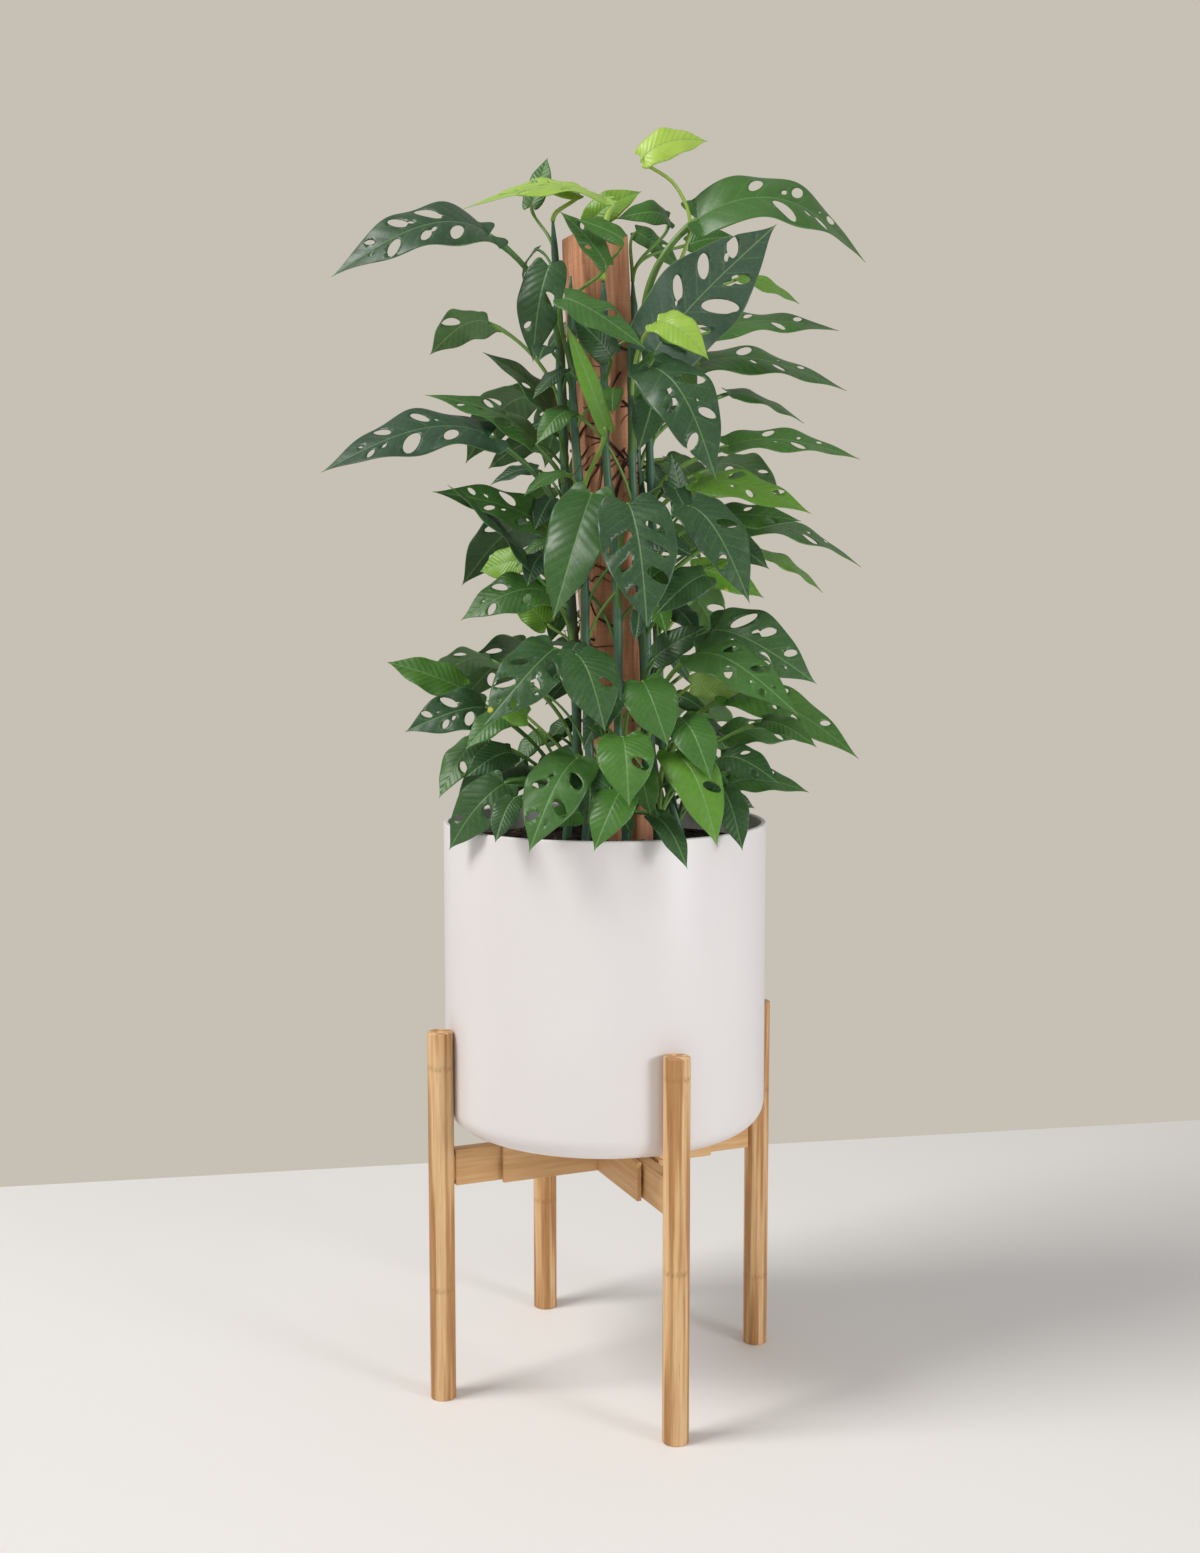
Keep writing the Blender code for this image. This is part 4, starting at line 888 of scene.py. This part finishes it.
# %% The leaf's form
WIDEST_AT = 0.608               # a power that moves the widest place towards the base
MARGIN_FULL = 0.6               # powers of the outline, at the base and added at the tip
MARGIN_TIP = 0.75
LOBE_SWEEP = 0.25               # how far the lobes reach back past the stalk
PHASE_STEP = 2.4                # tells a leaf from the next in its waves, folds and holes
BLADE_FOLD = 0.16
FOLD_VARIES = 0.09
FOLD_PHASE = 1.7
FOLD_APART = 0.8                # the two halves differ by this much of a wave
BLADE_SWEEP = 0.035
SWEEP_PHASE = 2.3
ARCH_FORWARD = 0.75
BLADE_CURL = 0.10
BLADE_WAVE = 0.06
WAVE_APART = 0.9
WAVES_PER_BLADE = 2.2
HOLES_FROM = 0.2
HOLES_SPAN = 0.58
HOLE_MIDDLE = 0.50
VEIN_LEAN = math.radians(50)
VEINS_FOR_HOLES = {0: 7, 1: 7, 2: 6, 3: 9}    # otherwise as many as there are holes
STALK_RADIUS = 0.9 * MM
STALK_GROWTH = 0.014


def half_width(s):
    """Half the width at a share s of the length, as a share of the greatest."""
    s = min(max(s, 0.0), 1.0)
    return max(0.0, math.sin(math.pi * s ** WIDEST_AT)) ** (MARGIN_FULL + MARGIN_TIP * s ** 4)


class Leaf:
    """One leaf of the plan: where it is, how it is turned, and its form."""

    def __init__(self, row, side, phase_number):
        base, tip, width, face, arch, holes, tone = row
        self.base = Vector(base) * CM
        self.tip = Vector(tip) * CM
        self.width = width * CM
        self.arch = arch
        self.holes = holes
        self.tone = tone
        self.phase = PHASE_STEP * phase_number
        self.length = (self.tip - self.base).length
        self.along = (self.tip - self.base).normalized()
        turn = math.radians(face)
        up = Z * math.cos(turn) + side * math.sin(turn)
        self.normal = (up - self.along * up.dot(self.along)).normalized()
        self.across = self.normal.cross(self.along)
        self.stalk_radius = STALK_RADIUS + STALK_GROWTH * self.length
        self.veins = VEINS_FOR_HOLES.get(holes, holes)

    def surface(self, a, b):
        """The place in space of a point a along and b across the flat leaf."""
        s = a / self.length
        x = b / (self.width / 2)
        bow = math.sin(math.pi * min(max(s, 0.0), 1.0) ** ARCH_FORWARD)
        fold = BLADE_FOLD + FOLD_VARIES * math.sin(
            FOLD_PHASE * self.phase + math.copysign(FOLD_APART, b))
        rise = self.arch * self.length * bow + fold * abs(b)
        rise -= BLADE_CURL * self.width * x * x
        rise += BLADE_WAVE * self.width * x * x * math.sin(
            math.tau * WAVES_PER_BLADE * s + self.phase + math.copysign(WAVE_APART, b))
        aside = b + BLADE_SWEEP * self.length * bow * math.sin(SWEEP_PHASE * self.phase)
        return self.base + self.along * a + self.across * aside + self.normal * rise

    def vein_number(self, a, b):
        """Counts the side veins: whole on a vein, and a half in the middle between two."""
        s = a / self.length
        past = abs(b) - HOLE_MIDDLE * half_width(s) * self.width / 2
        s -= past / math.tan(VEIN_LEAN) / self.length
        return (s - HOLES_FROM) * self.veins / HOLES_SPAN


FRONT = Vector((0, -1, 0))
sample_leaf = Leaf(PLAN["vine_left"][3][0], FRONT, 0)
print("the top left leaf is", round(sample_leaf.length / MM), "mm long, and at its widest",
      round(half_width(0.32), 3), "of its width")


# %% The holes
HOLE_RADIUS = 0.36              # of half the leaf's width, and of the pitch of the holes
HOLE_VARIES = 0.22
SMALL_HOLE_MIDDLE = 0.30
SMALL_HOLE_LONG = 0.20
SMALL_HOLE_SHORT = 0.17
SMALL_HOLE_PAST = 0.03
SMALL_HOLE_LEAST = 0.4


def leaf_holes(leaf):
    """The ovals to cut, as (center, long radius, short radius, direction) on the flat leaf.

    The large ones lie on the two halves in turn. Small ones lie opposite them, nearer to the
    midrib, on leaves with more than two holes.
    """
    ovals = []
    pitch = HOLES_SPAN * leaf.length / max(leaf.holes, 3)

    def add_oval(s, side, out, long_radius, short_radius):
        way = Vector((math.cos(VEIN_LEAN), side * math.sin(VEIN_LEAN)))
        half = half_width(s) * leaf.width / 2
        ovals.append((Vector((s * leaf.length, side * out * half)), long_radius * half,
                      min(short_radius, 0.5 * long_radius * half), way))

    for number in range(leaf.holes):
        side = 1 if number % 2 == 0 else -1
        s = HOLES_FROM + HOLES_SPAN * (number + 0.5) / leaf.holes
        size = 1.0 + HOLE_VARIES * math.sin(2.1 * number + leaf.phase)
        add_oval(s, side, HOLE_MIDDLE, HOLE_RADIUS * size, HOLE_RADIUS * pitch * size)
        if leaf.holes > 2:
            small = 0.5 + 0.3 * math.sin(1.3 * number + leaf.phase)
            if small > SMALL_HOLE_LEAST:
                add_oval(s + SMALL_HOLE_PAST, -side, SMALL_HOLE_MIDDLE,
                         SMALL_HOLE_LONG * small, SMALL_HOLE_SHORT * pitch * small)
    return ovals


def oval_distance(point, oval):
    """How far a flat point is from an oval's middle: 1 on its rim."""
    center, long_radius, short_radius, way = oval
    away = point - center
    lengthwise = away.dot(way) / long_radius
    crosswise = (away.x * way.y - away.y * way.x) / short_radius
    return math.hypot(lengthwise, crosswise)


print("holes in the top left leaf:", len(leaf_holes(sample_leaf)))

# %% The blade as a mesh
BLADE_THICKNESS = 0.5 * MM
LEAF_GRID = 2.4 * MM
HOLE_CORE = 0.55            # corners deeper in a hole than this go with its faces
UPPER, UNDER, STALK, STEM, ROOT = range(5)    # the plant's finishes, by number


def add_layers(bm, names):
    """Layers that hold a number for each vertex. The finishes read them as attributes."""
    return {name: bm.verts.layers.float.new(name) for name in names}


def flat_blade(leaf):
    """The leaf's outline and holes as a flat bmesh in (a, b), with a layer for the margin."""
    bm = bmesh.new()
    lengthwise = max(14, round(leaf.length / LEAF_GRID))
    crosswise = 2 * max(4, round(leaf.width / 2 / LEAF_GRID * 1.2))
    bmesh.ops.create_grid(bm, x_segments=lengthwise, y_segments=crosswise, size=0.5)
    margin = add_layers(bm, ["margin"])["margin"]
    for vert in bm.verts:
        u = vert.co.x + 0.5
        q = vert.co.y * 2
        s = 0.45 * u + 0.55 * (1 - math.cos(math.pi * u)) / 2    # closer rows at both ends
        half = half_width(s)
        vert[margin] = abs(q)
        vert.co = (leaf.length * (s - LOBE_SWEEP * half * abs(q) * (1 - s) ** 8),
                   q * half * leaf.width / 2, 0)
    bmesh.ops.remove_doubles(bm, verts=bm.verts, dist=0.02 * MM)
    for oval in leaf_holes(leaf):
        gone = {f for f in bm.faces if oval_distance(f.calc_center_median().xy, oval) < 1}
        near = [v for v in bm.verts if oval_distance(v.co.xy, oval) < HOLE_CORE]
        gone |= {f for v in near for f in v.link_faces}
        if not gone:
            gone = {min(bm.faces, key=lambda f: oval_distance(f.calc_center_median().xy, oval))}
        rim = {v for f in gone for v in f.verts}
        bmesh.ops.delete(bm, geom=list(gone), context="FACES")
        center = oval[0].to_3d()
        for vert in rim:
            if vert.is_valid:
                vert.co = center + (vert.co - center) / oval_distance(vert.co.xy, oval)
    return bm


def join(vine, bm):
    """Add a bmesh to a vine's, and free it."""
    mesh = bpy.data.meshes.new("part")
    bm.to_mesh(mesh)
    bm.free()
    vine.from_mesh(mesh)
    bpy.data.meshes.remove(mesh)


def add_blade(vine, leaf):
    """Lift the flat blade into space, draw out its underside, and add it to the vine."""
    bm = flat_blade(leaf)
    layers = add_layers(bm, ["vein", "rib", "tone"])
    for vert in bm.verts:
        a, b = vert.co.x, vert.co.y
        vert[layers["vein"]] = leaf.vein_number(a, b)
        vert[layers["rib"]] = b / MM
        vert[layers["tone"]] = leaf.tone
        vert.co = leaf.surface(a, b)
    bmesh.ops.recalc_face_normals(bm, faces=bm.faces)
    bm.normal_update()
    if sum((f.normal for f in bm.faces), Vector()).dot(leaf.normal) < 0:
        bmesh.ops.reverse_faces(bm, faces=bm.faces)
        bm.normal_update()
    for face in bm.faces:
        face.material_index = UPPER
    upper_verts = set(bm.verts)
    upper_faces = bm.faces[:]
    bmesh.ops.extrude_face_region(bm, geom=upper_faces, use_keep_orig=True)
    under = [f for f in bm.faces if not any(v in upper_verts for v in f.verts)]
    for face in under:
        face.material_index = UNDER
    for vert in {v for f in under for v in f.verts}:
        vert.co -= vert.normal * BLADE_THICKNESS
    bmesh.ops.recalc_face_normals(bm, faces=bm.faces)
    shade_smooth(bm)
    join(vine, bm)


print("faces in one flat blade:", len(flat_blade(sample_leaf).faces))

# %% [markdown]
# ## Stalks and stems
#
# A stalk or a stem is a round tube along a path. It starts as a grid, too: one way of the
# grid runs along the path and the other round it, and the seam is merged. A stalk leaves its
# stem upwards and bends out to its leaf.

# %% A tube along a path
def smooth_path(points, steps):
    """Points on a smooth curve through the given ones, steps for each stretch."""
    made = []
    for i in range(len(points) - 1):
        p0 = points[max(i - 1, 0)]
        p1, p2 = points[i], points[i + 1]
        p3 = points[min(i + 2, len(points) - 1)]
        for step in range(steps):
            t = step / steps
            made.append(0.5 * (2 * p1 + (p2 - p0) * t + (2 * p0 - 5 * p1 + 4 * p2 - p3) * t * t
                               + (3 * p1 - p0 - 3 * p2 + p3) * t ** 3))
    return made + [points[-1]]


def add_tube(vine, path, radii, sides, kind, tone):
    """A closed tube along a path, with a radius for each of its points."""
    rings = len(path) - 1
    frames = []
    side = (path[1] - path[0]).orthogonal().normalized()
    for i in range(rings + 1):
        along = (path[min(i + 1, rings)] - path[max(i - 1, 0)]).normalized()
        side = (side - along * side.dot(along)).normalized()
        frames.append((path[i], side, along.cross(side), radii[i]))
    bm = bmesh.new()
    bmesh.ops.create_grid(bm, x_segments=rings, y_segments=sides, size=0.5)
    layers = add_layers(bm, ["margin", "vein", "rib", "tone"])
    for vert in bm.verts:
        i = round((vert.co.x + 0.5) * rings)
        turn = (vert.co.y + 0.5) * math.tau
        center, side, up, radius = frames[i]
        vert.co = center + (side * math.cos(turn) + up * math.sin(turn)) * radius
        vert[layers["tone"]] = tone
    bmesh.ops.remove_doubles(bm, verts=bm.verts, dist=0.005 * MM)
    bmesh.ops.holes_fill(bm, edges=[e for e in bm.edges if e.is_boundary], sides=0)
    bmesh.ops.recalc_face_normals(bm, faces=bm.faces)
    shade_smooth(bm)
    for face in bm.faces:
        face.material_index = kind
    join(vine, bm)


print("tube helper ready")

# %% Where the stems run
STEM_RADIUS = 5.0 * MM
STEM_TAPER = 0.25
STEM_IN_SOIL = 55.0 * MM
STEM_STRAIGHT = 12.0 * MM
STEM_FLARE = 14.0 * MM
STEM_FLARE_HEIGHT = 110.0 * MM
STEM_SWAY = 2.2 * MM
SWAYS_PER_METRE = 22.0          # in radians
SWAY_FROM = 0.1
STALK_RISE = 1.35
STALK_NECK = 5.0 * MM
STALK_STEPS = 14


def stem_point(angle, reach, z, wander):
    """The middle of a stem at a height: beside the post, flared at the soil."""
    above = max(z - SOIL_EDGE_Z - STEM_STRAIGHT, 0.0)
    flare = STEM_FLARE * max(0.0, 1.0 - above / STEM_FLARE_HEIGHT) ** 2
    sway = STEM_SWAY * math.sin(above * SWAYS_PER_METRE + wander) * min(1.0, above / SWAY_FROM)
    turn = math.radians(angle)
    across = Vector((-math.sin(turn), math.cos(turn), 0))
    spot = post_middle(SOIL_EDGE_Z + STEM_STRAIGHT + above)
    spot += way_out(turn) * (reach + flare) + across * sway
    spot.z = z
    return spot


def stalk_path(start, leaf, way):
    """The stalk's path from inside the leaf's base to the middle of its stem."""
    places = [Vector(p) * CM for p in reversed(way)] + [start]
    arrive = leaf.along * 0.5 + (leaf.base - places[0]).normalized() * 0.7
    arrive.normalize()
    if way:
        return smooth_path([leaf.base, leaf.base - arrive * STALK_NECK] + places, 6)
    span = (leaf.base - start).length
    rise = start + Z * 0.4 * span
    before = leaf.base - arrive * 0.3 * span
    path = []
    for step in range(STALK_STEPS + 1):
        t = 1 - step / STALK_STEPS
        path.append(start * (1 - t) ** 3 + rise * 3 * t * (1 - t) ** 2
                    + before * 3 * t * t * (1 - t) + leaf.base * t ** 3)
    return path


print("stem of vine_left at the soil:", tuple(stem_point(190, 3.8 * CM, SOIL_EDGE_Z, 0)))

# %% [markdown]
# ## The plant's finishes
#
# A leaf's tone runs from dark green to lime. The veins and the thin margin are paler,
# and the flesh between the veins is puffed up a little, which breaks up the shine. The
# underside is paler and more matt. The layers that the mesh carries say where on the leaf a
# point is: `rib` is the way across in millimetres, `vein` counts the side veins, and `margin`
# goes from 0 at the midrib to 1 at the edge.

# %% Leaf finishes
def leaf_finish(name, tones, vein_color, matt, puff):
    finish = Finish(name, specular_ior_level=0.5)
    tone = finish.attribute("tone") / 3.0
    patches = finish.noise(finish.place(), 34.0, 3.0)
    # Mottle: the tone varies at random in small patches, and its lighter patches are painted
    # sheen. The same noise also lifts the surface a little.
    mottle_and_sheen = finish.noise(finish.place(), 130.0, 4.0, 0.6)
    fine = finish.noise(finish.place(), 420.0, 3.0)
    color = finish.ramp(tone + (patches - 0.5) * 0.16 + (mottle_and_sheen - 0.5) * 0.16, *tones)
    vein = finish.attribute("vein")
    between = (vein + 0.5).math("FRACT")
    off_vein = (between - 0.5).math("ABSOLUTE")
    rib = finish.attribute("rib").math("ABSOLUTE")
    margin = finish.attribute("margin")
    side_vein = (1.0 - off_vein.band(0.01, 0.09)) * (1.0 - margin.band(0.5, 0.95))
    midrib = 1.0 - rib.band(0.3, 0.95)
    pale = (side_vein * 0.11).math("MAXIMUM", midrib * 0.42)
    color = finish.mix(pale.math("MAXIMUM", margin.band(0.975, 1.0) * 0.35), color, vein_color)
    color = finish.mix(fine.band(0.35, 0.8) * 0.09, color, vein_color)
    spots = finish.node("ShaderNodeTexVoronoi", {}, {"Vector": finish.place(), "Scale": 13.0})
    color = finish.mix((1.0 - spots.band(0.02, 0.045)) * 0.8, color, linear(206, 200, 66))
    swell = off_vein.band(0.0, 0.5)
    relief = swell * puff - midrib * 0.5 + fine * 0.05 + mottle_and_sheen * 0.5 + patches * 1.5
    return finish.drive(base_color=color, roughness=matt + patches * 0.14,
                        normal=finish.bump(relief, 0.55 * MM, 0.7))


UPPER_TONES = [(0.0, 38, 68, 46), (0.12, 45, 82, 40), (0.36, 62, 108, 38),
               (0.66, 100, 150, 38), (1.0, 172, 204, 80)]
UNDER_TONES = [(0.0, 58, 88, 68), (0.17, 72, 108, 62), (0.36, 88, 132, 70),
               (0.66, 130, 170, 82), (1.0, 184, 208, 110)]
leaf_upper = leaf_finish("leaf_upper_side", UPPER_TONES, linear(128, 168, 104), 0.34, 0.5)
leaf_under = leaf_finish("leaf_underside", UNDER_TONES, linear(158, 190, 124), 0.46, -0.5)
print("leaf finishes:", leaf_upper.name, leaf_under.name)


# %% Stalk, stem and root finishes
def stalk_finish(name, matt, stretch, *tones):
    finish = Finish(name, specular_ior_level=0.45)
    streaks = finish.noise(finish.place(stretch), 1.0, 4.0)
    tone = finish.attribute("tone") / 3.0
    return finish.drive(base_color=finish.ramp(tone + (streaks - 0.5) * 0.35, *tones),
                        roughness=matt + streaks * 0.15,
                        normal=finish.bump(streaks, 0.25 * MM, 0.5))


stalk_green = stalk_finish("leaf_stalk", 0.34, (130, 130, 60),
                           (0.0, 46, 84, 50), (0.35, 84, 128, 60), (1.0, 158, 190, 84))
stem_green = stalk_finish("climbing_stem", 0.38, (160, 160, 40),
                          (0.0, 56, 92, 78), (0.35, 88, 128, 90), (1.0, 120, 154, 84))
root_brown = stalk_finish("aerial_root", 0.7, (220, 220, 220),
                          (0.0, 38, 24, 18), (0.5, 74, 48, 34), (1.0, 120, 84, 58))
PLANT_MATERIALS = [leaf_upper, leaf_under, stalk_green, stem_green, root_brown]
print("plant finishes:", [m.name for m in PLANT_MATERIALS])

# %% [markdown]
# ## The stems with their leaves
#
# Each climbing stem is one piece with all its leaves, and it stands for one plain solid. The
# stem is thickened at joints that come at an even spacing along it.

# %% Growing a stem
STEM_PITCH = 9.0 * MM
STEM_SIDES = 12
STEM_TONE = 0.5
STEM_KNOT = 58.0 * MM           # from one joint of the stem to the next
KNOT_WIDTH = 0.006
STEM_BUD = 40.0 * MM            # the tapering end
STALK_SIDES = 8


def grow_stem(name, number):
    angle, reach, top, rows = PLAN[name]
    side = -FRONT if name.startswith("vine_back") else FRONT
    vine = bmesh.new()
    bottom = SOIL_EDGE_Z - STEM_IN_SOIL
    count = round((top * CM - bottom) / STEM_PITCH)
    heights = [bottom + (top * CM - bottom) * i / count for i in range(count + 1)]
    path = [stem_point(angle, reach * CM, z, number) for z in heights]
    radii = []
    for z in heights:
        share = max(0.0, (z - SOIL_EDGE_Z) / (top * CM - SOIL_EDGE_Z))
        knot = math.exp(-((z / STEM_KNOT + 0.31 * number) % 1.0 - 0.5) ** 2 / KNOT_WIDTH)
        bud = min(1.0, 0.25 + (top * CM - z) / STEM_BUD)
        radii.append(STEM_RADIUS * (1.0 - STEM_TAPER * share) * (0.92 + 0.22 * knot) * bud)
    add_tube(vine, path, radii, STEM_SIDES, STEM, STEM_TONE)
    foot = stem_point(angle, reach * CM, SOIL_EDGE_Z + STEM_STRAIGHT, number)
    for order, row in enumerate(rows):
        leaf = Leaf(row, side, order + number)
        add_blade(vine, leaf)
        out = math.hypot(leaf.base.x - foot.x, leaf.base.y - foot.y)
        start_z = min(max(leaf.base.z - STALK_RISE * out, SOIL_EDGE_Z + 1.5 * CM),
                      top * CM - 0.5 * CM)
        start = stem_point(angle, reach * CM, start_z, number)
        way = stalk_path(start, leaf, STALK_WAYS.get((name, order), ()))
        thick = []
        for i in range(len(way)):
            knee = math.exp(-(i - 1.5) ** 2 / 1.5)
            thick.append(leaf.stalk_radius * (0.78 + 0.3 * i / (len(way) - 1) + 0.28 * knee))
        add_tube(vine, way, thick, STALK_SIDES, STALK, min(3.0, 0.8 + 0.7 * leaf.tone))
    made = link_mesh(f"leafy_{name}", vine, PLANT_MATERIALS)
    return adopt(made, "foliage", name)


leafy = [grow_stem(name, number) for number, name in enumerate(PLAN)]
print("leafy stems:", len(leafy))

# %% [markdown]
# ## Aerial roots
#
# Where the stems touch the post they send out thin brown roots. Most run like rungs across
# the post's faces; some run down it, and a few have lost their hold and curl in the air.

# %% The aerial roots
ROOT_RUNGS = 96
ROOT_LOOSE = 16
ROOT_GAP = 0.6 * MM
ROOT_STEPS = 14
LOOSE_STEPS = 18
LOOSE_RADIUS = 0.45 * MM
TANGLE_Z = 0.871                # many roots cross the post at this height


def beside_post(turn, z, away):
    """A point at a distance from the post's surface, in a direction and at a height."""
    local = turn - POST_TURN
    reach = POST_SIDE / 2 / max(abs(math.cos(local)), abs(math.sin(local)))
    corner = 0.9 * MM * (reach / (POST_SIDE / 2) - 1.0) * 2.4
    return post_middle(z) + way_out(turn) * (reach - corner + away)


roots = bmesh.new()
root_draw = random.Random(5)
stem_turns = [math.radians(p[0]) for p in PLAN.values()]
for number in range(ROOT_RUNGS):
    turn = root_draw.choice(stem_turns)
    if number % 4 == 0:
        z = root_draw.gauss(TANGLE_Z, 0.016)
    else:
        z = root_draw.uniform(0.56, 1.0)
    radius = root_draw.uniform(0.6, 1.4) * MM
    swing = root_draw.choice((-1, 1)) * root_draw.uniform(0.5, 1.6)
    fall = root_draw.gauss(0, 0.018) - (0.05 if number % 5 == 0 else 0.0)
    wander = root_draw.uniform(0, math.tau)
    path = []
    for i in range(ROOT_STEPS + 1):
        t = i / ROOT_STEPS
        lift = math.sin(wander + 5 * t) * 3 * MM
        path.append(beside_post(turn + swing * t, z + fall * t + lift,
                                ROOT_GAP + radius * (0.9 + 0.8 * math.sin(3 * t + wander))))
    radii = [radius * (1.0 - 0.6 * i / ROOT_STEPS) for i in range(ROOT_STEPS + 1)]
    add_tube(roots, path, radii, 6, ROOT, root_draw.uniform(0.3, 2.4))
for number in range(ROOT_LOOSE):
    turn = root_draw.choice(stem_turns)
    z = root_draw.uniform(0.60, 0.98)
    start = beside_post(turn, z, 9 * MM)
    outward = way_out(turn)
    reach = root_draw.uniform(12, 34) * MM
    curl = root_draw.uniform(0, math.tau)
    path = []
    for i in range(LOOSE_STEPS + 1):
        t = i / LOOSE_STEPS
        path.append(start + outward * reach * t + Vector((
            math.sin(curl + 4.5 * t), math.cos(curl + 3.6 * t),
            -1.4 * t + math.sin(curl + 6 * t) * 0.5)) * reach * 0.45 * t)
    radii = [LOOSE_RADIUS * (1.0 - 0.5 * i / LOOSE_STEPS) for i in range(LOOSE_STEPS + 1)]
    add_tube(roots, path, radii, 5, ROOT, root_draw.uniform(0.0, 1.2))
adopt(link_mesh("aerial_roots", roots, PLANT_MATERIALS), "foliage")
